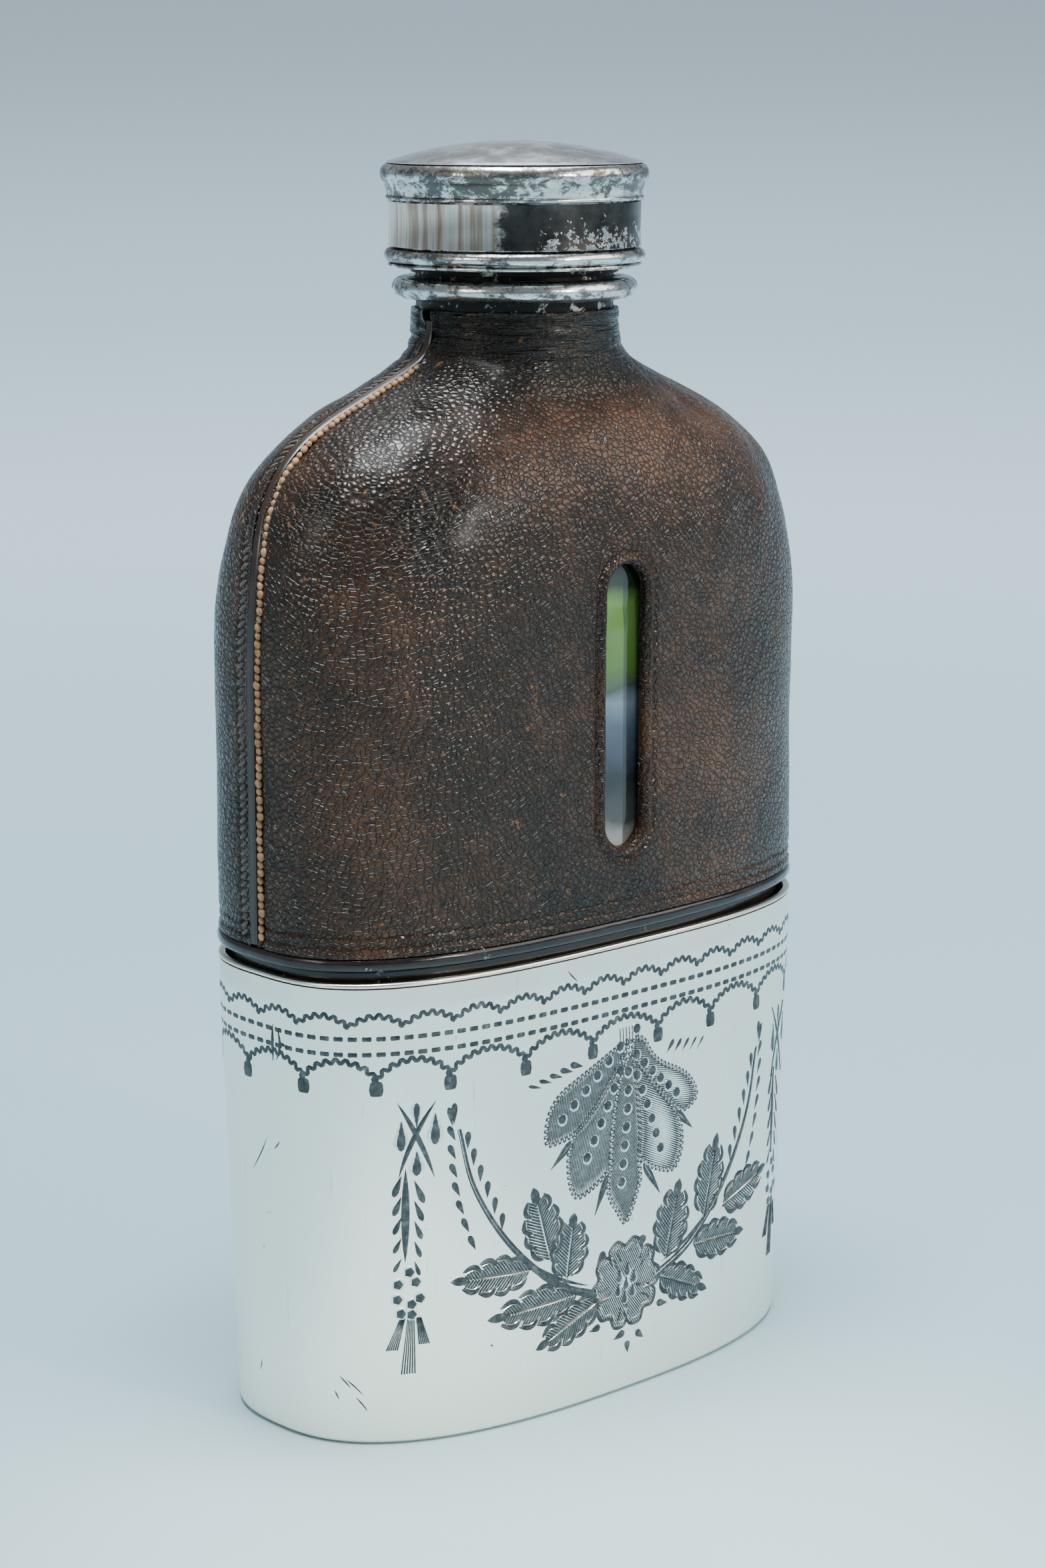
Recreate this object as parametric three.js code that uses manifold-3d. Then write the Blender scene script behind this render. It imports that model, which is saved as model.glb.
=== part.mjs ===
// Leather-covered glass hip flask with a slide-off metal cup and a screw cap.
// Millimetres, +Z up. The origin is the centre of the cup's underside.
// X runs across the width, Y through the depth; the front face looks towards -Y.
import * as THREE from 'three';
import { mergeVertices } from 'three/addons/utils/BufferGeometryUtils.js';
import Module from 'manifold-3d';

const wasm = await Module();
wasm.setup();

// ---------------------------------------------------------------- driving dimensions

// Sections across the body are superellipses |x/a|^n + |y/b|^n = 1.
const CUP_BASE = { a: 46.0, b: 24.0, n: 2.56, z: 0 };
const CUP_RIM = { a: 47.6, b: 23.0, n: 2.95, z: 66.8 };
const CUP_WALL = 0.9;
const CUP_EDGE_RADIUS = 1.0;
const CUP_BASE_THICKNESS = 1.0;
const CUP_WIRE_HEIGHT = 0.8;

const BODY = { a: 48.0, b: 22.7, n: 2.75 };
const LEATHER_BOTTOM = 70.2;
const LEATHER_TOP = 154.6;
const LEATHER_THICKNESS = 1.7;
const SHOULDER_START = 110.8;
const SHOULDER_END = { a: 26.4, b: 15.6, n: 2.15, z: 143.4 };
const LEATHER_NECK_RADIUS = 14.5;
const LEATHER_NECK_BORE = 14.15;

const SEAM_GAP = 0.65;          // half the space between the two leather halves
const WELT_HALF_THICKNESS = 0.45;
const WELT_PROUD = 0.4;
const WINDOW = { width: 7.6, bottom: 80.5, top: 120.5 };
const STITCH_RADIUS = 0.42;
const STITCH_ROW_FRONT = -1.7;
const STITCH_ROW_BACK = 2.6;
const STITCH_BOTTOM = 72.0;

const HEM = { bottom: 68.45, top: 70.05, inset: 1.65, swell: 0.35 };
const GRIP = { bottom: 58, top: 68.3, a: 46.3, b: 21.7, taper: 0.25, thickness: 0.5 };

const GLASS_WALL = 3.5;
const GLASS_FOOT = 1.4;
const GLASS_FLOOR = 7.0;
const GLASS_NECK_RADIUS = 10.4;
const GLASS_BORE_RADIUS = 7.5;
const GLASS_TOP = 165.6;

const COLLAR = { bottom: 149.6, bore: 12.5, skirt: 13.9, shelf: 159.5, core: 14.6, top: 168.0 };
const NECK_RING = { bottom: 156.0, top: 159.4, bore: 14.1, radius: 17.3 };
const CEMENT = { bottom: 149.8, top: 164.6, inner: 10.6, outer: 12.3 };

const THREAD = { pitch: 3.0, height: 1.0, root: 1.4, crest: 0.6, bottom: 161.6, turns: 1.75 };
const THREAD_CLEARANCE = 0.3;
const SINK = 0.3;               // how far a thread ridge reaches into its core

const WASHER = { bottom: 168.15, top: 170.9, radius: 14.6 };
const PLATE = { bottom: 171.1, top: 172.1, radius: 15.4 };
const LINER = { bottom: 160.5, top: 173.9, bore: 15.9, outer: 16.8 };
const BEAD = { bottom: 160.3, top: 163.0, bore: 17.0, radius: 18.3 };
const BAND = { bottom: 163.2, top: 169.3, bore: 17.0, radius: 17.78 };
const RIM = { bottom: 169.5, top: 174.6, bore: 17.0, radius: 18.85 };
const DOME = { radius: 17.5, bottom: 174.75, top: 177.6, thickness: 0.8 };

const ROUND = 32;               // facets round a turned part
const OVAL = 40;                // facets round a body section

// ---------------------------------------------------------------- shared shapes

// One closed loop of points on a superellipse at height z.
function ovalRing({ a, b, n, z }, count = OVAL) {
  const ring = [];
  for (let i = 0; i < count; i++) {
    const angle = (2 * Math.PI * i) / count;
    const c = Math.cos(angle);
    const s = Math.sin(angle);
    const x = a * Math.sign(c) * Math.abs(c) ** (2 / n);
    const y = b * Math.sign(s) * Math.abs(s) ** (2 / n);
    ring.push(new THREE.Vector3(x, y, z));
  }
  return ring;
}

// Skins a list of equal rings. A closed loft joins its last ring to its first, which
// makes a tube with a wall; an open one gets a cap on each end.
function loft(rings, closed) {
  const count = rings[0].length;
  const vertices = rings.flat();
  const faces = [];
  const spans = closed ? rings.length : rings.length - 1;
  for (let i = 0; i < spans; i++) {
    const low = i * count;
    const high = ((i + 1) % rings.length) * count;
    for (let j = 0; j < count; j++) {
      const next = (j + 1) % count;
      faces.push(low + j, low + next, high + next, low + j, high + next, high + j);
    }
  }
  if (!closed) {
    const last = (rings.length - 1) * count;
    const first = middle(rings[0]);
    const end = middle(rings[rings.length - 1]);
    vertices.push(first, end);
    const hub = vertices.length - 2;
    for (let j = 0; j < count; j++) {
      const next = (j + 1) % count;
      faces.push(hub, next, j, hub + 1, last + j, last + next);
    }
  }
  const geometry = new THREE.BufferGeometry().setFromPoints(vertices);
  geometry.setIndex(faces);
  geometry.computeVertexNormals();
  return geometry;
}

function middle(ring) {
  const sum = new THREE.Vector3();
  ring.forEach((point) => sum.add(point));
  return sum.divideScalar(ring.length);
}

// A turned part about Z from a profile of [radius, height] pairs, anticlockwise in the
// half-plane: up the outside, down the inside.
function turned(profile) {
  const points = profile.map(([radius, height]) => new THREE.Vector2(radius, height));
  const onAxis = profile[0][0] === 0;
  if (!onAxis) points.push(points[0].clone());
  return new THREE.LatheGeometry(points, ROUND).rotateX(Math.PI / 2);
}

// Points of a half-round bulge from the bottom to the top of a moulding.
function bulge(bottom, top, edge, radius, steps) {
  const points = [];
  for (let i = 0; i <= steps; i++) {
    const angle = (Math.PI * i) / steps;
    const height = (bottom + top) / 2 - (Math.cos(angle) * (top - bottom)) / 2;
    points.push([edge + (radius - edge) * Math.sin(angle), height]);
  }
  return points;
}

function toSolid(geometry) {
  const bare = geometry.clone();
  bare.deleteAttribute('normal');
  bare.deleteAttribute('uv');
  const merged = mergeVertices(bare);
  return new wasm.Manifold(new wasm.Mesh({
    numProp: 3,
    vertProperties: merged.attributes.position.array,
    triVerts: new Uint32Array(merged.index.array),
  }));
}

function toGeometry(solid) {
  const mesh = solid.getMesh();
  const geometry = new THREE.BufferGeometry();
  geometry.setAttribute('position', new THREE.BufferAttribute(mesh.vertProperties, 3));
  geometry.setIndex(new THREE.BufferAttribute(mesh.triVerts, 1));
  geometry.computeVertexNormals();
  return geometry;
}

function block(x0, x1, y0, y1, z0, z1) {
  const box = new THREE.BoxGeometry(x1 - x0, y1 - y0, z1 - z0);
  return toSolid(box.translate((x0 + x1) / 2, (y0 + y1) / 2, (z0 + z1) / 2));
}

// ---------------------------------------------------------------- materials

const finish = (color, roughness, metalness) => ({ color, roughness, metalness });
const SILVER = finish(0xdfddd0, 0.3, 1.0);
const CAP_SILVER = finish(0xc4bfae, 0.25, 1.0);
const LEATHER = finish(0x33231e, 0.5, 0.0);
const THREAD_TAN = finish(0xa8703e, 0.8, 0.0);
const BLACK_LEATHER = finish(0x141212, 0.3, 0.0);
const GLASS = finish(0xa9bfb2, 0.05, 0.0);
const CORK = finish(0xb08a5e, 0.9, 0.0);
const PLASTER = finish(0xd8d2c4, 0.9, 0.0);

const flask = new THREE.Group();

function add(name, geometry, look) {
  const mesh = new THREE.Mesh(geometry, new THREE.MeshStandardMaterial(look));
  mesh.name = name;
  flask.add(mesh);
}

// ---------------------------------------------------------------- cup

// The cup's outer section at a height, moved in by an inset.
function cupSection(z, inset = 0) {
  const part = z / CUP_RIM.z;
  const mix = (key) => THREE.MathUtils.lerp(CUP_BASE[key], CUP_RIM[key], part);
  return { a: mix('a') - inset, b: mix('b') - inset, n: mix('n'), z };
}

function addCup() {
  const wallTop = CUP_RIM.z - CUP_WIRE_HEIGHT - 0.1;
  const outer = [
    cupSection(0, CUP_EDGE_RADIUS * 0.7),
    cupSection(CUP_EDGE_RADIUS * 0.3, CUP_EDGE_RADIUS * 0.2),
    cupSection(CUP_EDGE_RADIUS),
    cupSection(wallTop / 2),
    cupSection(wallTop),
  ];
  const inner = [
    cupSection(wallTop, CUP_WALL),
    cupSection(wallTop / 2, CUP_WALL),
    cupSection(CUP_BASE_THICKNESS, CUP_WALL),
    cupSection(0, CUP_WALL + CUP_EDGE_RADIUS * 0.6),
  ];
  const wallRings = [...outer, ...inner].map((section) => ovalRing(section));
  add('cup_wall', loft(wallRings, true), SILVER);

  const baseInset = CUP_WALL + CUP_EDGE_RADIUS * 0.6 + 0.3;
  const base = [cupSection(0, baseInset), cupSection(CUP_BASE_THICKNESS, baseInset)];
  add('cup_base', loft(base.map((section) => ovalRing(section)), false), SILVER);

  const wireBottom = CUP_RIM.z - CUP_WIRE_HEIGHT;
  const wire = [
    cupSection(wireBottom, 0.05),
    cupSection(CUP_RIM.z - 0.3, -0.05),
    cupSection(CUP_RIM.z, 0.3),
    cupSection(CUP_RIM.z, CUP_WALL - 0.2),
    cupSection(wireBottom, CUP_WALL),
  ];
  add('cup_rim_wire', loft(wire.map((section) => ovalRing(section)), true), SILVER);
}

// ---------------------------------------------------------------- body outline

// The covered body's outline holds a, b and height as x, y and z of two curves: the
// shoulder rounds over from the straight sides, and the neck sweeps up from its end.
const shoulder = new THREE.CubicBezierCurve3(
  new THREE.Vector3(BODY.a, BODY.b, SHOULDER_START),
  new THREE.Vector3(BODY.a, 24.6, 135.2),
  new THREE.Vector3(38.1, 19.2, 138.4),
  new THREE.Vector3(SHOULDER_END.a, SHOULDER_END.b, SHOULDER_END.z),
);
const neck = new THREE.CubicBezierCurve3(
  new THREE.Vector3(SHOULDER_END.a, SHOULDER_END.b, SHOULDER_END.z),
  new THREE.Vector3(15.2, 13.4, 148.2),
  new THREE.Vector3(LEATHER_NECK_RADIUS, 14.6, 148.0),
  new THREE.Vector3(LEATHER_NECK_RADIUS, LEATHER_NECK_RADIUS, LEATHER_TOP),
);

// The section at t from 0 to 1 on a curve, moved in along the outline's normal.
function sectionOn(curve, t, inset, n) {
  const point = curve.getPoint(t);
  const slope = curve.getTangent(t);
  const length = Math.hypot(slope.x, slope.z);
  const sideways = slope.z / length;
  const upward = -slope.x / length;
  return {
    a: point.x - inset * sideways,
    b: point.y - inset * Math.max(sideways, 0.35),
    n,
    z: point.z - inset * upward,
  };
}

// The ends grow rounder quickly where the shoulder begins and slowly after that.
function shoulderSection(t, inset = 0) {
  const n = THREE.MathUtils.lerp(BODY.n, SHOULDER_END.n, 1 - (1 - t) ** 2);
  return sectionOn(shoulder, t, inset, n);
}

function shoulderSections(from, to, steps, inset) {
  const sections = [];
  for (let i = 0; i <= steps; i++) {
    sections.push(shoulderSection(THREE.MathUtils.lerp(from, to, i / steps), inset));
  }
  return sections;
}

function neckSection(t, inset = 0) {
  return sectionOn(neck, t, inset, THREE.MathUtils.lerp(SHOULDER_END.n, 2, t));
}

function bodySection(z, inset = 0) {
  return { a: BODY.a - inset, b: BODY.b - inset, n: BODY.n, z };
}

const circle = (radius, z) => ({ a: radius, b: radius, n: 2, z });

// ---------------------------------------------------------------- leather cover

// The whole leather cover as one shell, its outside moved out by "proud".
function coverShell(proud) {
  const neckSections = [0.12, 0.25, 0.4, 0.6, 0.8, 1].map((t) => neckSection(t, -proud));
  const outer = [
    bodySection(LEATHER_BOTTOM, -proud),
    ...shoulderSections(0, 1, 10, -proud),
    ...neckSections,
  ];
  const inner = [
    circle(LEATHER_NECK_BORE, LEATHER_TOP),
    circle(LEATHER_NECK_BORE, COLLAR.bottom - 0.2),
    neckSection(0.3, 1.2),
    neckSection(0.12, 1.5),
    ...shoulderSections(0, 1, 8, LEATHER_THICKNESS).reverse(),
    bodySection(LEATHER_BOTTOM, LEATHER_THICKNESS),
  ];
  return toSolid(loft([...outer, ...inner].map((section) => ovalRing(section)), true));
}

function windowCutter() {
  const radius = WINDOW.width / 2;
  const outline = new THREE.Shape();
  outline.absarc(0, WINDOW.top - radius, radius, 0, Math.PI, false);
  outline.absarc(0, WINDOW.bottom + radius, radius, Math.PI, 2 * Math.PI, false);
  outline.closePath();
  const depth = 2 * BODY.b + 10;
  const prism = new THREE.ExtrudeGeometry(outline, { depth, curveSegments: 6, bevelEnabled: false });
  return toSolid(prism.rotateX(Math.PI / 2).translate(0, depth / 2, 0));
}

function addLeather() {
  const far = BODY.a + 10;
  const low = LEATHER_BOTTOM - 1;
  const high = LEATHER_TOP + 1;
  const shell = coverShell(0).subtract(windowCutter());
  const front = shell.intersect(block(-far, far, -far, -SEAM_GAP, low, high));
  const back = shell.intersect(block(-far, far, SEAM_GAP, far, low, high));
  add('leather_front', toGeometry(front), LEATHER);
  add('leather_back', toGeometry(back), LEATHER);

  const half = WELT_HALF_THICKNESS;
  const raised = coverShell(WELT_PROUD);
  const left = raised.intersect(block(-far, -1, -half, half, low, high));
  const right = raised.intersect(block(1, far, -half, half, low, high));
  add('seam_welt_left', toGeometry(left), LEATHER);
  add('seam_welt_right', toGeometry(right), LEATHER);
}

// ---------------------------------------------------------------- stitching

// A point on the cover's narrow end, on the section with the given y, lifted off it.
function endPoint(section, y, side, lift) {
  const { a, b, n, z } = section;
  const x = a * (1 - Math.abs(y / b) ** n) ** (1 / n);
  return new THREE.Vector3(side * (x + lift), y, z);
}

// Each row of saddle stitches is one thread that follows the seam from hem to neck.
function addStitchRow(name, side, y) {
  const lift = STITCH_RADIUS + 0.25;
  const points = [endPoint(bodySection(STITCH_BOTTOM), y, side, lift)];
  points.push(endPoint(bodySection((STITCH_BOTTOM + SHOULDER_START) / 2), y, side, lift));
  const neckSections = [neckSection(0.2, -lift), neckSection(0.4, -lift)];
  for (const section of [...shoulderSections(0, 1, 10, -lift), ...neckSections]) {
    points.push(endPoint(section, y, side, 0));
  }
  const path = new THREE.CatmullRomCurve3(points, false, 'centripetal');
  const section = new THREE.Shape();
  section.absarc(0, 0, STITCH_RADIUS, 0, 2 * Math.PI, false);
  const options = { steps: 24, extrudePath: path, curveSegments: 3 };
  add(name, new THREE.ExtrudeGeometry(section, options), THREAD_TAN);
}

// ---------------------------------------------------------------- hem and grip band

function addHemAndGrip() {
  const middleZ = (HEM.bottom + HEM.top) / 2;
  const hem = [
    bodySection(HEM.bottom, 0.35),
    bodySection(middleZ, -HEM.swell),
    bodySection(HEM.top, 0.2),
    bodySection(HEM.top, HEM.inset),
    bodySection(HEM.bottom, HEM.inset),
  ];
  add('hem_binding', loft(hem.map((section) => ovalRing(section)), true), BLACK_LEATHER);

  const gripSection = (z, inset) => ({ a: GRIP.a - inset, b: GRIP.b - inset, n: BODY.n, z });
  const grip = [
    gripSection(GRIP.bottom, GRIP.taper),
    gripSection(GRIP.bottom + 8, 0),
    gripSection(GRIP.top, 0),
    gripSection(GRIP.top, GRIP.thickness),
    gripSection(GRIP.bottom, GRIP.taper + GRIP.thickness),
  ];
  add('grip_band', loft(grip.map((section) => ovalRing(section)), true), BLACK_LEATHER);
}

// ---------------------------------------------------------------- glass bottle

function addBottle() {
  const lower = (z, inset) => ({ a: 44.6 - inset, b: 20.5 - inset, n: 2.6, z });
  const upper = (z, inset) => ({ a: 45.5 - inset, b: 20.6 - inset, n: 2.7, z });
  const coverGap = LEATHER_THICKNESS + 0.4;
  const outer = [
    lower(GLASS_FOOT, 3.0),
    lower(GLASS_FOOT + 1.0, 0.9),
    lower(GLASS_FOOT + 3.2, 0),
    upper(GRIP.bottom, 0.3),
    upper(SHOULDER_START, 0),
    ...shoulderSections(0.15, 0.97, 8, coverGap),
    circle(GLASS_NECK_RADIUS + 1.6, 145.8),
    circle(GLASS_NECK_RADIUS, 148.2),
    circle(GLASS_NECK_RADIUS, GLASS_TOP),
  ];
  const inner = [
    circle(GLASS_BORE_RADIUS, GLASS_TOP),
    circle(GLASS_BORE_RADIUS, 145.0),
    ...shoulderSections(0.15, 0.86, 6, coverGap + GLASS_WALL).reverse(),
    upper(SHOULDER_START, GLASS_WALL),
    lower(GLASS_FLOOR + 4, GLASS_WALL),
    lower(GLASS_FLOOR + 1, GLASS_WALL + 1.2),
    lower(GLASS_FLOOR, GLASS_WALL + 4),
  ];
  const rings = [...outer, ...inner].map((section) => ovalRing(section));
  add('glass_bottle', loft(rings, false), GLASS);
}

// ---------------------------------------------------------------- screw thread

// A helical ridge of trapezoid section. "reach" is how far it stands from its core:
// positive outwards on a screw, negative inwards in a nut. The ends run out to nothing.
function threadRidge(core, reach, bottom) {
  const stepsPerTurn = 18;
  const steps = Math.round(THREAD.turns * stepsPerTurn);
  const outwards = Math.sign(reach);
  const rings = [];
  for (let i = 0; i <= steps; i++) {
    const angle = (2 * Math.PI * i) / stepsPerTurn;
    const z = bottom + (THREAD.pitch * i) / stepsPerTurn;
    const fade = Math.min(1, (i + 0.5) / 3, (steps - i + 0.5) / 3);
    const foot = core - outwards * SINK;
    const tip = core + reach * fade;
    const section = [
      [foot, -THREAD.root / 2],
      [foot, THREAD.root / 2],
      [tip, THREAD.crest / 2],
      [tip, -THREAD.crest / 2],
    ];
    if (outwards < 0) section.reverse();
    rings.push(section.map(([radius, rise]) => new THREE.Vector3(
      radius * Math.cos(angle), radius * Math.sin(angle), z + rise,
    )));
  }
  return toSolid(loft(rings, false));
}

// ---------------------------------------------------------------- neck fittings

function addNeckFittings() {
  add('neck_cement', turned([
    [CEMENT.inner, CEMENT.bottom],
    [CEMENT.outer, CEMENT.bottom],
    [CEMENT.outer, CEMENT.top],
    [CEMENT.inner, CEMENT.top],
  ]), PLASTER);

  const lipUnderside = GLASS_TOP + 0.9;
  const collar = toSolid(turned([
    [COLLAR.bore, COLLAR.bottom],
    [COLLAR.skirt, COLLAR.bottom],
    [COLLAR.skirt, COLLAR.shelf],
    [COLLAR.core, COLLAR.shelf + 0.1],
    [COLLAR.core, COLLAR.top - 0.4],
    [COLLAR.core - 0.4, COLLAR.top],
    [GLASS_BORE_RADIUS + 0.3, COLLAR.top],
    [GLASS_BORE_RADIUS + 0.3, lipUnderside],
    [COLLAR.bore, lipUnderside],
  ]));
  const screw = threadRidge(COLLAR.core, THREAD.height, THREAD.bottom);
  add('neck_collar', toGeometry(collar.add(screw)), CAP_SILVER);

  const swell = bulge(NECK_RING.bottom, NECK_RING.top, NECK_RING.bore + 1.3, NECK_RING.radius, 8);
  add('neck_ring', turned([
    [NECK_RING.bore, NECK_RING.bottom],
    ...swell,
    [NECK_RING.bore, NECK_RING.top],
  ]), CAP_SILVER);
}

// ---------------------------------------------------------------- cap

function addCap() {
  add('cork_washer', turned([
    [0, WASHER.bottom],
    [WASHER.radius, WASHER.bottom],
    [WASHER.radius, WASHER.top],
    [0, WASHER.top],
  ]), CORK);

  add('cap_pressure_plate', turned([
    [0, PLATE.bottom],
    [PLATE.radius, PLATE.bottom],
    [PLATE.radius, PLATE.top],
    [0, PLATE.top],
  ]), CAP_SILVER);

  const liner = toSolid(turned([
    [LINER.bore, LINER.bottom],
    [LINER.outer, LINER.bottom],
    [LINER.outer, LINER.top],
    [12, LINER.top],
    [12, PLATE.top + 0.3],
    [LINER.bore, PLATE.top + 0.3],
  ]));
  const reach = LINER.bore - COLLAR.core - THREAD_CLEARANCE;
  const nut = threadRidge(LINER.bore, -reach, THREAD.bottom + THREAD.pitch / 2);
  add('cap_thread_liner', toGeometry(liner.add(nut)), CAP_SILVER);

  add('cap_bead', turned([
    [BEAD.bore, BEAD.bottom],
    [17.4, BEAD.bottom],
    ...bulge(BEAD.bottom + 0.35, BEAD.top - 0.2, 17.5, BEAD.radius, 6),
    [BEAD.bore, BEAD.top],
  ]), CAP_SILVER);

  add('cap_band', turned([
    [BAND.bore, BAND.bottom],
    [BAND.radius, BAND.bottom],
    [BAND.radius, BAND.top],
    [BAND.bore, BAND.top],
  ]), CAP_SILVER);

  add('cap_rim_moulding', turned([
    [RIM.bore, RIM.bottom],
    [18.0, RIM.bottom],
    [18.25, RIM.bottom + 1.4],
    ...bulge(RIM.bottom + 2.2, RIM.top, 18.2, RIM.radius, 6),
    [RIM.bore, RIM.top],
  ]), CAP_SILVER);

  add('cap_dome', turned(domeProfile()), CAP_SILVER);
}

// The dome is a shallow spherical cap with a parallel underside.
function domeProfile() {
  const rise = DOME.top - DOME.bottom;
  const sphere = (DOME.radius ** 2 + rise ** 2) / (2 * rise);
  const centre = DOME.top - sphere;
  const edge = Math.asin(DOME.radius / sphere);
  const steps = 5;
  const outside = [];
  const underside = [];
  for (let i = 0; i <= steps; i++) {
    const angle = edge * (1 - i / steps);
    const inner = sphere - DOME.thickness;
    outside.push([sphere * Math.sin(angle), centre + sphere * Math.cos(angle)]);
    const height = centre + inner * Math.cos(angle);
    underside.unshift([inner * Math.sin(angle), Math.max(height, DOME.bottom)]);
  }
  underside[0][0] = 0;
  outside[steps][0] = 0;
  return [...underside, ...outside];
}

// ---------------------------------------------------------------- assembly

addCup();
addBottle();
addLeather();
addStitchRow('stitch_row_front_left', -1, STITCH_ROW_FRONT);
addStitchRow('stitch_row_back_left', -1, STITCH_ROW_BACK);
addStitchRow('stitch_row_front_right', 1, STITCH_ROW_FRONT);
addStitchRow('stitch_row_back_right', 1, STITCH_ROW_BACK);
addHemAndGrip();
addNeckFittings();
addCap();

export default flask;
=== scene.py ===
import math

import bpy
import numpy as np
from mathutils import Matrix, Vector, noise


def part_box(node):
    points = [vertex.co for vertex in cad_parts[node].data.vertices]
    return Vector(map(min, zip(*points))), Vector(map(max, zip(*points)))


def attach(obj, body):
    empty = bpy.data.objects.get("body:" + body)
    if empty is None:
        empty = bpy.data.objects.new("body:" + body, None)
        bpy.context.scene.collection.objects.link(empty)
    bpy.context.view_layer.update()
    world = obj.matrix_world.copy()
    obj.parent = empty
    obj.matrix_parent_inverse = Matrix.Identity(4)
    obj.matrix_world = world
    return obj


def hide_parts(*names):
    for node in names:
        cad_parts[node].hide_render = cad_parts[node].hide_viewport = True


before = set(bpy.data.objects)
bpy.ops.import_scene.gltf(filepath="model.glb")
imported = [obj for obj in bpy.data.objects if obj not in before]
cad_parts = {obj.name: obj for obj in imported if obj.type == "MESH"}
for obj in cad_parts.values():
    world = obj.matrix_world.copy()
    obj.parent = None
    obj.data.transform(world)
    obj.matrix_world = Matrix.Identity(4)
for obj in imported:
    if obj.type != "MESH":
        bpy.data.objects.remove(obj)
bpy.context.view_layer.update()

# Shapes are worked out in millimetres and written to meshes in metres.
MM = 0.001


def millimetres(corner):
    return np.array(corner) / MM


def limits(node):
    low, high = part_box(node)
    return millimetres(low), millimetres(high)


# ------------------------------------------------------------------ dimensions from the frame

CUP_LOW, CUP_HIGH = limits("cup_wall")
WIRE_LOW, WIRE_HIGH = limits("cup_rim_wire")
LEATHER_LOW, LEATHER_HIGH = limits("leather_front")
BOTTLE_LOW, BOTTLE_HIGH = limits("glass_bottle")
HEM_LOW, HEM_HIGH = limits("hem_binding")
GRIP_LOW, GRIP_HIGH = limits("grip_band")
RING_LOW, RING_HIGH = limits("neck_ring")
COLLAR_LOW, COLLAR_HIGH = limits("neck_collar")
BEAD_LOW, BEAD_HIGH = limits("cap_bead")
BAND_LOW, BAND_HIGH = limits("cap_band")
RIM_LOW, RIM_HIGH = limits("cap_rim_moulding")
DOME_LOW, DOME_HIGH = limits("cap_dome")
LINER_LOW, LINER_HIGH = limits("cap_thread_liner")
WASHER_LOW, WASHER_HIGH = limits("cork_washer")

CUP_TOP = WIRE_HIGH[2]
CUP_BASE = (46.0, CUP_HIGH[1], 2.56)        # half width, half depth and squareness at the foot
CUP_RIM = (47.6, 23.0, 2.95)                # the same at the rim
BODY = (LEATHER_HIGH[0], -LEATHER_LOW[1], 2.75)
HEM_Z = LEATHER_LOW[2]
NECK_Z = LEATHER_HIGH[2]
SEAM_GAP = -LEATHER_HIGH[1]
SHOULDER_Z = 110.8
WINDOW_HALF_WIDTH = 3.8
WINDOW_BOTTOM = 80.5
WINDOW_TOP = 120.5
WINDOW_MIDDLE = (WINDOW_BOTTOM + WINDOW_TOP) / 2
WINDOW_STRAIGHT = (WINDOW_TOP - WINDOW_BOTTOM) / 2 - WINDOW_HALF_WIDTH


# ------------------------------------------------------------------ small maths

def smooth(low, high, value):
    t = np.clip((value - low) / (high - low), 0, 1)
    return t * t * (3 - 2 * t)


def bezier(p0, p1, p2, p3, t):
    return ((1 - t) ** 3 * p0 + 3 * (1 - t) ** 2 * t * p1
            + 3 * (1 - t) * t ** 2 * p2 + t ** 3 * p3)


def graded(*stretches):
    """Values from stretches of (start, end, spacing), each joined to the next."""
    values = []
    for start, end, spacing in stretches:
        count = max(1, round((end - start) / spacing))
        values.extend(start + (end - start) * i / count for i in range(count))
    values.append(stretches[-1][1])
    return np.array(values)


def wobble(x, y, z, seed=0.0):
    """Smooth noise from -1 to 1 at arrays of points."""
    flat = zip(np.ravel(x), np.ravel(y), np.ravel(z))
    values = [noise.noise(Vector((a + seed, b - seed, c + 0.37 * seed))) for a, b, c in flat]
    return np.reshape(values, np.shape(x))


# ------------------------------------------------------------------ body sections

QUARTER_STEPS = 240
_ease = (1 - np.cos(np.linspace(0, math.pi, QUARTER_STEPS))) / 2 * (math.pi / 2)
_sin, _cos = np.sin(_ease), np.cos(_ease)
_cos[-1] = 0.0


def section(half_width, half_depth, squareness, fraction):
    """x, y on a superellipse at fractions of its perimeter: 0 at the front centre,
    0.25 at the +X end, 0.5 at the back centre. Also gives the perimeter."""
    x = half_width * _sin ** (2 / squareness)
    y = half_depth * _cos ** (2 / squareness)
    length = np.concatenate([[0], np.cumsum(np.hypot(np.diff(x), np.diff(y)))])
    quarter = length[-1]
    turn = np.mod(np.asarray(fraction) + 0.5, 1.0) - 0.5
    along = np.abs(turn) * 4
    folded = np.where(along > 1, 2 - along, along) * quarter
    px = np.interp(folded, length, x) * np.sign(turn)
    py = np.interp(folded, length, y) * np.where(along > 1, 1, -1)
    return px, py, quarter * 4


def level_ring(half_width, half_depth, squareness, z, count):
    """Points round a section at one height."""
    fractions = np.linspace(-0.5, 0.5, count, endpoint=False)
    x, y, _ = section(half_width, half_depth, squareness, fractions)
    return np.column_stack([x, y, np.full(count, z)])


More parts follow.
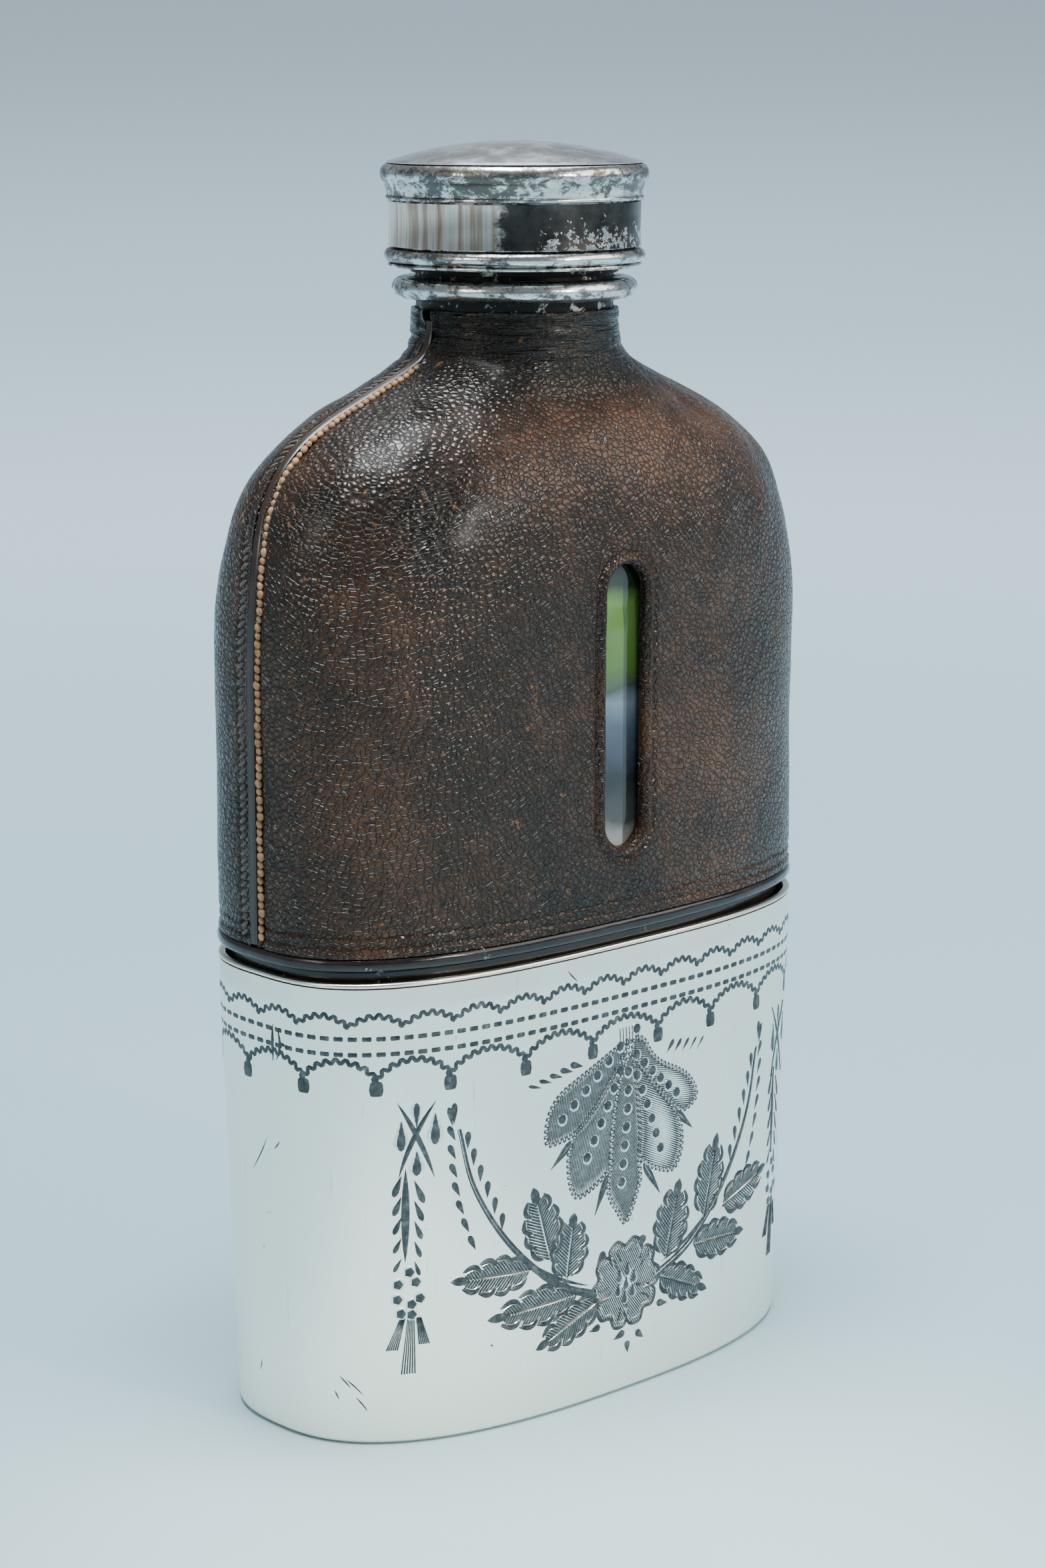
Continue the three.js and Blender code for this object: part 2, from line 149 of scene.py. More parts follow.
def body_profile():
    """The covered body's outline as rows of half width, half depth, squareness, z and
    the length along the narrow end from the hem."""
    a, b, n = BODY
    rows = [(a, b, n, z) for z in np.linspace(HEM_Z, SHOULDER_Z, 40, endpoint=False)]
    for t in np.linspace(0, 1, 160):
        rows.append((bezier(a, a, 38.1, 26.4, t), bezier(b, 24.6, 19.2, 15.6, t),
                     n - 0.6 * (1 - (1 - t) ** 2), bezier(SHOULDER_Z, 135.2, 138.4, 143.4, t)))
    for t in np.linspace(0, 1, 91)[1:]:
        rows.append((bezier(26.4, 15.2, 14.5, 14.5, t), bezier(15.6, 13.4, 14.6, 14.5, t),
                     2.15 - 0.15 * t, bezier(143.4, 148.2, 148.0, NECK_Z, t)))
    rows = np.array(rows)
    steps = np.hypot(np.diff(rows[:, 0]), np.diff(rows[:, 3]))
    return np.column_stack([rows, np.concatenate([[0], np.cumsum(steps)])])


PROFILE = body_profile()
PROFILE_LENGTH = PROFILE[-1, 4]


def profile_at(length):
    """Half width, half depth, squareness and z at lengths along the narrow end."""
    return [np.interp(length, PROFILE[:, 4], PROFILE[:, i]) for i in range(4)]


def length_at_height(z):
    return np.interp(z, PROFILE[:, 3], PROFILE[:, 4])


def seam_centre(z):
    """How far behind the body's middle the seam runs: it wanders, and drifts back as it
    climbs over the shoulder."""
    return 0.05 - 0.4 * np.exp(-((z - 117) / 6) ** 2) + 1.45 * smooth(121, 141, z)


# ------------------------------------------------------------------ mesh building

def make_mesh(name, points, faces, flat=False):
    mesh = bpy.data.meshes.new(name)
    mesh.from_pydata((np.asarray(points, float) * MM).tolist(), [], faces)
    mesh.validate()
    mesh.update()
    mesh.polygons.foreach_set("use_smooth", [not flat] * len(mesh.polygons))
    obj = bpy.data.objects.new(name, mesh)
    bpy.context.scene.collection.objects.link(obj)
    return obj


def grid_faces(rows, columns, around, start=0, flip=False):
    faces = []
    for i in range(rows - 1):
        for j in range(columns if around else columns - 1):
            k = (j + 1) % columns
            quad = (start + i * columns + j, start + i * columns + k,
                    start + (i + 1) * columns + k, start + (i + 1) * columns + j)
            faces.append(quad[::-1] if flip else quad)
    return faces


def end_fans(rows, columns, low, high):
    """Triangles that close a skin's first and last rings on to two single points."""
    faces = []
    last = (rows - 1) * columns
    for j in range(columns):
        k = (j + 1) % columns
        faces.append((low, k, j))
        faces.append((high, last + j, last + k))
    return faces


def loft(name, rings, closed):
    """Skins rings of equal length. A closed loft joins the last ring to the first."""
    rings = np.array(rings)
    rows, columns = rings.shape[:2]
    points = rings.reshape(-1, 3)
    faces = grid_faces(rows, columns, True)
    if closed:
        last = (rows - 1) * columns
        for j in range(columns):
            k = (j + 1) % columns
            faces.append((last + j, last + k, k, j))
    else:
        points = np.vstack([points, rings[0].mean(0), rings[-1].mean(0)])
        faces += end_fans(rows, columns, len(points) - 2, len(points) - 1)
    return make_mesh(name, points, faces)


def turned(name, profile, segments=192, wave=None, crease=35):
    """A turned part from [radius, z] pairs, up the outside and down the inside."""
    angles = np.linspace(0, 2 * math.pi, segments, endpoint=False)
    profile = np.array(profile, float)
    on_axis = profile[0, 0] == 0
    inner = profile[1:-1] if on_axis else profile
    rings = []
    for radius, z in inner:
        r = radius + (wave(angles, z) if wave is not None else 0)
        rings.append(np.column_stack([r * np.cos(angles), r * np.sin(angles),
                                      np.full(segments, z)]))
    if not on_axis:
        obj = loft(name, rings, True)
    else:
        rings = np.array(rings)
        points = np.vstack([rings.reshape(-1, 3), [0, 0, profile[0, 1]], [0, 0, profile[-1, 1]]])
        faces = grid_faces(len(rings), segments, True)
        faces += end_fans(len(rings), segments, len(points) - 2, len(points) - 1)
        obj = make_mesh(name, points, faces)
    sharpen(obj, crease)
    return obj


def sharpen(obj, degrees):
    """Keeps edges steeper than the angle crisp and the rest smooth."""
    obj.data.set_sharp_from_angle(angle=math.radians(degrees))


def arc_points(centre, radius, start, end, steps):
    """Points on an arc in the radius-height plane; angles in degrees from outwards."""
    points = []
    for i in range(steps + 1):
        angle = math.radians(start + (end - start) * i / steps)
        points.append([centre[0] + radius[0] * math.cos(angle),
                       centre[1] + radius[1] * math.sin(angle)])
    return points


def join(name, objects):
    """One object from several, each keeping its own closed shells."""
    points, faces = [], []
    for obj in objects:
        start = len(points)
        points.extend(tuple(v.co / MM) for v in obj.data.vertices)
        faces.extend(tuple(start + i for i in p.vertices) for p in obj.data.polygons)
        bpy.data.objects.remove(obj)
    return make_mesh(name, points, faces)


def cut(obj, cutter):
    """Cuts the cutter out of obj and applies the result."""
    modifier = obj.modifiers.new("cut", "BOOLEAN")
    modifier.operation = "DIFFERENCE"
    modifier.solver = "EXACT"
    modifier.object = cutter
    result = bpy.data.meshes.new_from_object(
        obj.evaluated_get(bpy.context.evaluated_depsgraph_get()))
    obj.modifiers.clear()
    obj.data = result
    bpy.data.objects.remove(cutter)


def fit_out(obj, body, slot, material, *nodes):
    """Gives a piece its body, its material and the CAD nodes it stands for; slot is not used."""
    obj.data.materials.clear()
    obj.data.materials.append(material)
    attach(obj, body)
    if nodes:
        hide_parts(*nodes)


# ------------------------------------------------------------------ shader building

class Shader:
    """A Principled material with short calls for the nodes that feed it."""

    def __init__(self, name):
        self.material = bpy.data.materials.new(name)
        self.material.use_nodes = True
        self.tree = self.material.node_tree
        self.nodes = self.tree.nodes
        self.surface = self.nodes["Principled BSDF"]
        self.place = self.nodes.new("ShaderNodeTexCoord").outputs["Object"]

    def put(self, socket, value):
        if isinstance(value, bpy.types.NodeSocket):
            self.tree.links.new(value, socket)
        else:
            socket.default_value = value

    def set(self, **inputs):
        for name, value in inputs.items():
            self.put(self.surface.inputs[name.replace("_", " ")], value)

    def maths(self, operation, a, b=0.0, c=0.0, clamp=False):
        node = self.nodes.new("ShaderNodeMath")
        node.operation = operation
        node.use_clamp = clamp
        for socket, value in zip(node.inputs, (a, b, c)):
            self.put(socket, value)
        return node.outputs[0]

    def times(self, a, b):
        return self.maths("MULTIPLY", a, b)

    def stretch(self, scale, turn=(0, 0, 0), shift=(0, 0, 0)):
        node = self.nodes.new("ShaderNodeMapping")
        self.put(node.inputs["Vector"], self.place)
        node.inputs["Scale"].default_value = scale
        node.inputs["Rotation"].default_value = [math.radians(v) for v in turn]
        node.inputs["Location"].default_value = shift
        return node.outputs[0]

    def axis(self, index):
        node = self.nodes.new("ShaderNodeSeparateXYZ")
        self.put(node.inputs[0], self.place)
        return node.outputs[index]

    def noise(self, scale, detail=3.0, rough=0.5, bend=0.0, place=None):
        node = self.nodes.new("ShaderNodeTexNoise")
        self.put(node.inputs["Vector"], place or self.place)
        node.inputs["Scale"].default_value = scale
        node.inputs["Detail"].default_value = detail
        node.inputs["Roughness"].default_value = rough
        node.inputs["Distortion"].default_value = bend
        return node.outputs[0]

    def cells(self, scale, place=None, feature="F1"):
        node = self.nodes.new("ShaderNodeTexVoronoi")
        node.feature = feature
        self.put(node.inputs["Vector"], place or self.place)
        node.inputs["Scale"].default_value = scale
        return node.outputs["Distance"]

    def span(self, value, low, high, to_low=0.0, to_high=1.0):
        node = self.nodes.new("ShaderNodeMapRange")
        node.interpolation_type = "SMOOTHSTEP"
        for socket, part in zip(node.inputs, (value, low, high, to_low, to_high)):
            self.put(socket, part)
        return node.outputs[0]

    def ramp(self, value, *stops):
        node = self.nodes.new("ShaderNodeValToRGB")
        self.put(node.inputs[0], value)
        elements = node.color_ramp.elements
        while len(elements) < len(stops):
            elements.new(0.5)
        for element, (place, color) in zip(elements, stops):
            element.position = place
            element.color = (*color, 1.0)
        return node.outputs[0]

    def blend(self, factor, a, b, mode="MIX"):
        node = self.nodes.new("ShaderNodeMix")
        node.data_type = "RGBA"
        node.blend_type = mode
        self.put(node.inputs[0], factor)
        for socket, value in ((node.inputs[6], a), (node.inputs[7], b)):
            self.put(socket, (*value, 1.0) if isinstance(value, tuple) else value)
        return node.outputs[2]

    def bump(self, height, distance, strength=1.0, under=None):
        node = self.nodes.new("ShaderNodeBump")
        node.inputs["Strength"].default_value = strength
        node.inputs["Distance"].default_value = distance * MM
        self.put(node.inputs["Height"], height)
        if under is not None:
            self.put(node.inputs["Normal"], under)
        return node.outputs[0]


def leather_material():
    """Pebbled hide: rounded cells, their creases darkened by painted shade; browner in worn patches
    and towards +X, darker towards the neck.
    """
    s = Shader("leather_brown")
    x, z = s.axis(0), s.axis(2)
    drift = s.nodes.new("ShaderNodeTexNoise")
    drift.inputs["Scale"].default_value = 150
    s.put(drift.inputs["Vector"], s.place)
    wander = s.nodes.new("ShaderNodeVectorMath")
    wander.operation = "MULTIPLY_ADD"
    s.put(wander.inputs[0], drift.outputs["Color"])
    wander.inputs[1].default_value = (0.0020, 0.0020, 0.0014)
    s.put(wander.inputs[2], s.stretch((1.0, 1.0, 1.25)))
    pebbles_per_metre = 1100
    spot = s.cells(pebbles_per_metre, wander.outputs[0])
    edge = s.cells(pebbles_per_metre, wander.outputs[0], "DISTANCE_TO_EDGE")
    top = s.span(edge, 0.0, 0.13)
    dome = s.span(spot, 0.70, 0.0)
    pebble = s.maths("MULTIPLY_ADD", top, 0.60, s.times(dome, 0.40))
    smooth_neck = s.span(z, 0.1455, 0.1500, 1.0, 0.15)
    pebble = s.times(pebble, smooth_neck)
    patches = s.noise(36, 4, 0.62)
    mottle = s.noise(300, 4, 0.7)
    fine = s.noise(3200, 2, 0.6)

    right = s.span(x, -0.034, 0.016)
    worn = s.maths("MULTIPLY_ADD", right, 0.16, s.times(patches, 1.45))
    worn = s.maths("MULTIPLY_ADD", mottle, 0.50, s.maths("SUBTRACT", worn, 0.72))
    neck_dark = s.span(z, 0.138, 0.149)
    worn = s.maths("SUBTRACT", worn, s.times(neck_dark, 0.4), clamp=True)
    color = s.ramp(worn, (0.08, (0.007, 0.0045, 0.0035)), (0.34, (0.030, 0.0135, 0.0075)),
                   (0.60, (0.078, 0.033, 0.016)), (0.95, (0.145, 0.060, 0.026)))
    # Painted shade: the creases between the pebbles are painted near black.
    color = s.blend(s.times(s.maths("SUBTRACT", 1.0, top), 0.85), color, (0.003, 0.0022, 0.002))
    nick = s.span(s.noise(520, 2, 0.7), 0.67, 0.75)
    color = s.blend(s.times(nick, 0.5), color, (0.26, 0.12, 0.055))

    crease_flat = s.noise(95, 3, 0.6, 0.6, s.stretch((1.0, 1.0, 9.0)))
    normal = s.bump(s.times(crease_flat, s.span(z, 0.1440, 0.1495)), 1.6, 1.0)
    normal = s.bump(pebble, 0.25, 1.0, normal)
    normal = s.bump(fine, 0.010, 0.5, normal)
    rough = s.maths("MULTIPLY_ADD", top, -0.24, s.span(mottle, 0.3, 0.75, 0.42, 0.55))
    s.set(Base_Color=color, Roughness=rough, Normal=normal, Specular_IOR_Level=0.32,
          Specular_Tint=(1.0, 0.94, 0.87, 1.0),
          Coat_Weight=0.07, Coat_Roughness=0.22, Coat_IOR=1.45)
    return s.material


def dark_strip_material():
    """Smooth dark leather of the strip that stands between the two halves."""
    s = Shader("leather_smooth_edge")
    mottle = s.noise(300, 4, 0.6)
    streak = s.noise(700, 3, 0.6, 0.2, s.stretch((1.0, 3.0, 0.25)))
    color = s.ramp(mottle, (0.3, (0.010, 0.007, 0.006)), (0.7, (0.035, 0.019, 0.014)))
    normal = s.bump(streak, 0.05, 0.5)
    s.set(Base_Color=color, Roughness=s.span(streak, 0.3, 0.7, 0.26, 0.42), Normal=normal,
          Coat_Weight=0.3, Coat_Roughness=0.2)
    return s.material


def black_leather_material():
    """Glossy black leather, rubbed grey in a few small places."""
    s = Shader("leather_black_gloss")
    mottle = s.noise(180, 4, 0.65)
    fine = s.noise(1500, 3, 0.6)
    color = s.ramp(mottle, (0.35, (0.006, 0.005, 0.005)), (0.75, (0.022, 0.014, 0.011)))
    rubbed = s.span(s.noise(150, 5, 0.75), 0.655, 0.70)
    color = s.blend(s.times(rubbed, 0.5), color, (0.42, 0.39, 0.37))
    normal = s.bump(fine, 0.03, 0.4, s.bump(mottle, 0.25, 0.4))
    s.set(Base_Color=color, Roughness=s.span(mottle, 0.3, 0.75, 0.16, 0.30), Normal=normal,
          Specular_IOR_Level=0.35, Coat_Weight=0.2, Coat_Roughness=0.10)
    return s.material


def thread_material(name, light, mid, dark):
    s = Shader(name)
    shade = s.noise(520, 3, 0.7)
    twist = s.noise(2200, 2, 0.6, 0.3, s.stretch((1.0, 1.6, 0.6), (35, 20, 0)))
    color = s.ramp(shade, (0.28, dark), (0.5, mid), (0.72, light))
    s.set(Base_Color=color, Roughness=0.55, Normal=s.bump(twist, 0.10, 0.8),
          Sheen_Weight=0.15, Coat_Weight=0.1)
    return s.material


def scratches(s, scale, turn, threshold):
    """Thin broken lines in one direction, from strongly stretched noise."""
    lines = s.noise(scale, 2, 0.5, 0.0, s.stretch((1.0, 1.0, 0.035), turn))
    broken = s.noise(160, 2, 0.5, 0.0, s.stretch((1, 1, 1), (0, 0, 0), (turn[0], turn[1], 0)))
    line = s.span(lines, threshold, threshold + 0.05)
    return s.times(line, s.span(broken, 0.45, 0.62))


def cup_silver_material():
    """Soft bright plate with fine scratches and small pits, dulled under the rim."""
    s = Shader("silver_plate_cup")
    cloud = s.noise(28, 4, 0.6)
    fine = s.noise(900, 4, 0.7)
    marks = s.maths("MAXIMUM", scratches(s, 1700, (8, 14, 0), 0.70),
                    scratches(s, 1500, (62, -20, 0), 0.71))
    marks = s.maths("MAXIMUM", marks, scratches(s, 1600, (0, 88, 0), 0.72))
    color = s.ramp(cloud, (0.3, (0.98, 0.93, 0.81)), (0.55, (1.0, 0.96, 0.86)),
                   (0.8, (1.0, 0.93, 0.79)))
    under_rim = s.times(s.span(s.axis(2), 0.0622, 0.0636), s.span(cloud, 0.35, 0.6))
    color = s.blend(s.times(under_rim, 0.45), color, (0.66, 0.60, 0.56))
    pits = s.span(s.noise(650, 2, 0.8), 0.72, 0.78)
    color = s.blend(s.times(pits, 0.55), color, (0.33, 0.31, 0.28))
    color = s.blend(s.times(marks, 0.35), color, (0.45, 0.44, 0.42))
    rough = s.maths("ADD", s.span(cloud, 0.3, 0.75, 0.23, 0.31),
                    s.times(s.maths("ADD", marks, pits), 0.10))
    normal = s.bump(marks, 0.02, -0.35, s.bump(fine, 0.008, 0.5, s.bump(cloud, 0.5, 0.12)))
    s.set(Base_Color=color, Metallic=1.0, Roughness=rough, Normal=normal)
    return s.material


def cap_silver_material():
    """Worn silver, blotched with tarnish, with a painted dark reflection added in the hollow of the
    rolled rim on the side towards +X and -Y.
    """
    s = Shader("silver_cap_worn")
    cloud = s.noise(70, 4, 0.65)
    blotch = s.noise(420, 6, 0.78, 0.4, s.stretch((1.0, 1.0, 1.7)))
    fine = s.noise(1800, 3, 0.7)
    marks = s.maths("MAXIMUM", scratches(s, 2000, (6, 86, 0), 0.66),
                    scratches(s, 1800, (40, 10, 0), 0.70))
    across = s.maths("MULTIPLY_ADD", s.axis(0), 0.74, s.times(s.axis(1), -0.67))
    # Painted dark reflection: on the side towards +X and -Y, the hollow of the rolled rim is pushed
    # towards the dark tarnish colour.
    hollow_dark_reflection = s.times(s.span(s.axis(2), 0.1744, 0.1730), s.span(s.axis(2), 0.1700, 0.1712))
    hollow_dark_reflection = s.times(hollow_dark_reflection, s.span(across, -0.014, -0.006))
    stain = s.maths("MULTIPLY_ADD", cloud, 0.4, s.times(blotch, 0.85))
    tarnish = s.span(s.maths("MULTIPLY_ADD", hollow_dark_reflection, 0.06, stain), 0.57, 0.69)
    color = s.ramp(cloud, (0.3, (0.58, 0.58, 0.56)), (0.7, (0.86, 0.86, 0.84)))
    color = s.blend(s.times(tarnish, 0.90), color, (0.060, 0.050, 0.042))
    color = s.blend(s.times(marks, 0.4), color, (0.38, 0.36, 0.33))
    rough = s.maths("MULTIPLY_ADD", tarnish, 0.2, s.span(fine, 0.3, 0.7, 0.13, 0.22))
    pucker = s.noise(480, 3, 0.6)
    normal = s.bump(pucker, 0.16, 0.5, s.bump(blotch, 0.10, 0.35, s.bump(fine, 0.01, 0.5)))
    normal = s.bump(marks, 0.03, -0.4, normal)
    s.set(Base_Color=color, Metallic=1.0, Roughness=rough, Normal=normal)
    return s.material


def dome_material():
    """Silver of the domed top, rubbed clean but for faint blotches and scratches."""
    s = Shader("silver_cap_dome")
    cloud = s.noise(45, 3, 0.55)
    blotch = s.noise(230, 5, 0.7, 0.3)
    marks = s.maths("MAXIMUM", scratches(s, 1900, (90, 20, 0), 0.68),
                    scratches(s, 1700, (80, 70, 30), 0.70))
    color = s.ramp(cloud, (0.3, (0.56, 0.58, 0.60)), (0.7, (0.76, 0.78, 0.80)))
    color = s.blend(s.times(s.span(blotch, 0.60, 0.75), 0.12), color,
                    (0.30, 0.28, 0.25))
    color = s.blend(s.times(marks, 0.3), color, (0.35, 0.34, 0.32))
    normal = s.bump(blotch, 0.02, 0.2, s.bump(cloud, 0.6, 0.2))
    s.set(Base_Color=color, Metallic=1.0, Roughness=s.span(blotch, 0.35, 0.7, 0.2, 0.3),
          Normal=normal)
    return s.material


def band_silver_material():
    """Plain polished band: bright on one side, where upright streaks are a painted reflection of what
    its polish mirrors; towards +X and -Y it is tarnish darkened by a painted dark reflection."""
    s = Shader("silver_cap_band")
    across = s.maths("ADD", s.times(s.axis(0), 0.74), s.times(s.axis(1), -0.67))
    blotch = s.noise(330, 6, 0.78, 0.5)
    ragged = s.maths("MULTIPLY_ADD", s.maths("SUBTRACT", blotch, 0.5), 0.008, across)
    # Painted dark reflection with tarnish on the side towards +X and -Y; the other side shows the
    # painted reflection streaks.
    dark_side_tarnish_and_reflection = s.span(ragged, -0.0030, -0.0014)
    streak = s.noise(300, 3, 0.65, 0.0, s.stretch((1.0, 1.0, 0.03)))
    bright = s.ramp(streak, (0.30, (0.09, 0.05, 0.04)), (0.38, (0.60, 0.38, 0.28)),
                    (0.47, (1.0, 0.92, 0.78)), (0.58, (0.52, 0.36, 0.26)),
                    (0.68, (0.95, 0.86, 0.74)))
    dark = s.ramp(s.noise(160, 5, 0.7), (0.35, (0.030, 0.028, 0.028)), (0.65, (0.10, 0.09, 0.08)))
    low = s.span(s.axis(2), 0.1690, 0.1638)
    speck = s.noise(700, 5, 0.75, 0.2)
    flake = s.span(s.maths("MULTIPLY_ADD", low, 0.15, speck), 0.66, 0.69)
    flake = s.times(flake, s.span(across, 0.002, 0.006))
    color = s.blend(dark_side_tarnish_and_reflection, bright, s.blend(flake, dark, (0.92, 0.91, 0.87)))
    rough = s.maths("MULTIPLY_ADD", s.times(dark_side_tarnish_and_reflection, s.maths("SUBTRACT", 1.0, flake)), 0.14, 0.12)
    s.set(Base_Color=color, Metallic=1.0, Roughness=rough,
          Normal=s.bump(streak, 0.04, 0.4, s.bump(flake, 0.03, 0.6)))
    return s.material


def collar_material():
    """Blackened below, where it is not rubbed, and clean over the screw thread."""
    s = Shader("silver_collar_oxidised")
    blotch = s.noise(420, 6, 0.75, 0.4)
    worn = s.span(blotch, 0.56, 0.62)
    color = s.blend(worn, (0.016, 0.014, 0.013), (0.42, 0.36, 0.31))
    clean = s.span(s.axis(2), 0.1616, 0.1620)
    color = s.blend(clean, color, (0.70, 0.68, 0.63))
    s.set(Base_Color=color, Metallic=0.9, Roughness=s.span(clean, 0.0, 1.0, 0.5, 0.24),
          Normal=s.bump(blotch, 0.10, 0.5))
    return s.material


def engraved_material():
    s = Shader("silver_engraved_dark")
    grime = s.noise(900, 3, 0.7)
    color = s.ramp(grime, (0.3, (0.030, 0.036, 0.040)), (0.55, (0.075, 0.085, 0.088)),
                   (0.8, (0.20, 0.21, 0.21)))
    s.set(Base_Color=color, Metallic=0.7, Roughness=s.span(grime, 0.3, 0.7, 0.3, 0.45),
          Specular_IOR_Level=0.3)
    return s.material


def bright_cut_material():
    s = Shader("silver_bright_cut")
    grime = s.noise(1200, 3, 0.7)
    color = s.ramp(grime, (0.3, (0.62, 0.63, 0.61)), (0.7, (0.90, 0.90, 0.87)))
    s.set(Base_Color=color, Metallic=1.0, Roughness=s.span(grime, 0.3, 0.7, 0.2, 0.32))
    return s.material


def glass_material():
    """Clear, with a slight green cast. A strip behind the slots is painted with soft
    coloured bands on two facets, as if a garden and sky were seen through the bottle."""
    s = Shader("glass_greenish")
    x, z = s.axis(0), s.axis(2)
    near = s.maths("LESS_THAN", s.maths("ABSOLUTE", x), (WINDOW_HALF_WIDTH + 3) * MM)
    near = s.times(near, s.maths("GREATER_THAN", z, (WINDOW_BOTTOM - 3) * MM))
    cloud = s.noise(120, 3, 0.6)
    level = s.maths("MULTIPLY_ADD", s.maths("SUBTRACT", cloud, 0.5), 0.005, z)
    place = s.span(level, WINDOW_BOTTOM * MM, WINDOW_TOP * MM)
    place.node.interpolation_type = "LINEAR"
    # Painted light: coloured bands that stand for sky and garden seen through the glass, painted
    # darker on the facet towards +X.
    painted_view = s.ramp(place, (0.0, (0.50, 0.50, 0.46)), (0.09, (0.07, 0.07, 0.065)),
                   (0.24, (0.018, 0.02, 0.024)), (0.42, (0.08, 0.10, 0.15)),
                   (0.51, (0.20, 0.25, 0.31)), (0.56, (0.06, 0.08, 0.06)),
                   (0.62, (0.10, 0.20, 0.035)), (0.84, (0.16, 0.30, 0.06)),
                   (0.91, (0.02, 0.03, 0.01)), (1.0, (0.008, 0.008, 0.008)))
    facet = s.span(x, 0.0009, 0.0012, 1.0, 0.42)
    painted_view = s.blend(1.0, painted_view, facet, "MULTIPLY")
    color = s.blend(near, (0.93, 0.97, 0.94), painted_view)
    s.set(Base_Color=color, Roughness=0.03, IOR=1.5,
          Transmission_Weight=s.maths("MULTIPLY_ADD", near, -0.85, 1.0),
          Normal=s.bump(cloud, 0.3, 0.15))
    return s.material


def cork_material():
    s = Shader("cork_pressed")
    grains = s.cells(900)
    dark = s.noise(600, 4, 0.7)
    color = s.ramp(grains, (0.0, (0.42, 0.26, 0.13)), (0.6, (0.30, 0.18, 0.09)),
                   (1.0, (0.12, 0.065, 0.03)))
    color = s.blend(s.span(dark, 0.6, 0.7), color, (0.07, 0.04, 0.02))
    s.set(Base_Color=color, Roughness=0.85, Normal=s.bump(grains, 0.25, 0.7))
    return s.material


def plaster_material():
    s = Shader("plaster_cement")
    lumps = s.noise(500, 5, 0.7)
    color = s.ramp(lumps, (0.3, (0.42, 0.39, 0.33)), (0.7, (0.66, 0.63, 0.56)))
    s.set(Base_Color=color, Roughness=0.95, Normal=s.bump(lumps, 0.3, 0.7))
    return s.material


LEATHER = leather_material()
STRIP = dark_strip_material()
BLACK = black_leather_material()
TAN_THREAD = thread_material("thread_tan", (0.50, 0.31, 0.15), (0.31, 0.15, 0.06),
                             (0.16, 0.07, 0.03))
DARK_THREAD = thread_material("thread_dark", (0.10, 0.06, 0.04), (0.05, 0.03, 0.02),
                              (0.02, 0.013, 0.01))
CUP_SILVER = cup_silver_material()
CAP_SILVER = cap_silver_material()
DOME_SILVER = dome_material()
BAND_SILVER = band_silver_material()
COLLAR_SILVER = collar_material()
ENGRAVED = engraved_material()
BRIGHT_CUT = bright_cut_material()
GLASS = glass_material()
CORK = cork_material()
PLASTER = plaster_material()


# ------------------------------------------------------------------ cup

CUP_WALL = 0.9
CUP_FACETS = 320


def cup_section(z, fraction, inset=0.0):
    share = z / CUP_TOP
    a, b, n = (low + (high - low) * share for low, high in zip(CUP_BASE, CUP_RIM))
    x, y, around = section(a - inset, b - inset, n, fraction)
    return np.column_stack([x, y, np.full(len(x), z)]), around


def cup_ring(z, inset=0.0):
    fractions = np.linspace(-0.5, 0.5, CUP_FACETS, endpoint=False)
    return cup_section(z, fractions, inset)[0]


def build_cup():
    wall_top = WIRE_LOW[2] - 0.05
    edge = 1.0
    rings = []
    for i in range(9):
        angle = math.radians(90 * i / 8)
        rings.append(cup_ring(edge - edge * math.cos(angle), edge * (1 - math.sin(angle))))
    rings += [cup_ring(z) for z in np.linspace(edge, wall_top, 60)[1:]]
    rings += [cup_ring(z, CUP_WALL) for z in np.linspace(wall_top, edge, 24)]
    rings.append(cup_ring(0.0, CUP_WALL + 0.6))
    wall = loft("cup_wall_fine", rings, True)
    sharpen(wall, 40)
    fit_out(wall, "cup", "cup_silver", CUP_SILVER, "cup_wall")

    inset = CUP_WALL + 0.75
    plate_rings = [cup_ring(0.12, inset + 0.4), cup_ring(0.0, inset + 0.15),
                   cup_ring(0.2, inset), cup_ring(1.0, inset)]
    plate = loft("cup_base_plate", [cup_ring(0.0, 22.0), *plate_rings, cup_ring(1.0, 22.0)],
                 False)
    sharpen(plate, 40)
    fit_out(plate, "cup", "cup_silver", CUP_SILVER, "cup_base")

    low, high = wall_top + 0.05, CUP_TOP
    middle, half = (low + high) / 2, (high - low) / 2
    wire = []
    for i in range(16):
        angle = 2 * math.pi * i / 16
        wire.append(cup_ring(middle - half * math.cos(angle),
                             CUP_WALL / 2 - (CUP_WALL / 2 + 0.06) * math.sin(angle)))
    rim = loft("cup_rim_bright", wire, True)
    fit_out(rim, "cup", "cup_silver", CUP_SILVER, "cup_rim_wire")


# ------------------------------------------------------------------ engraving

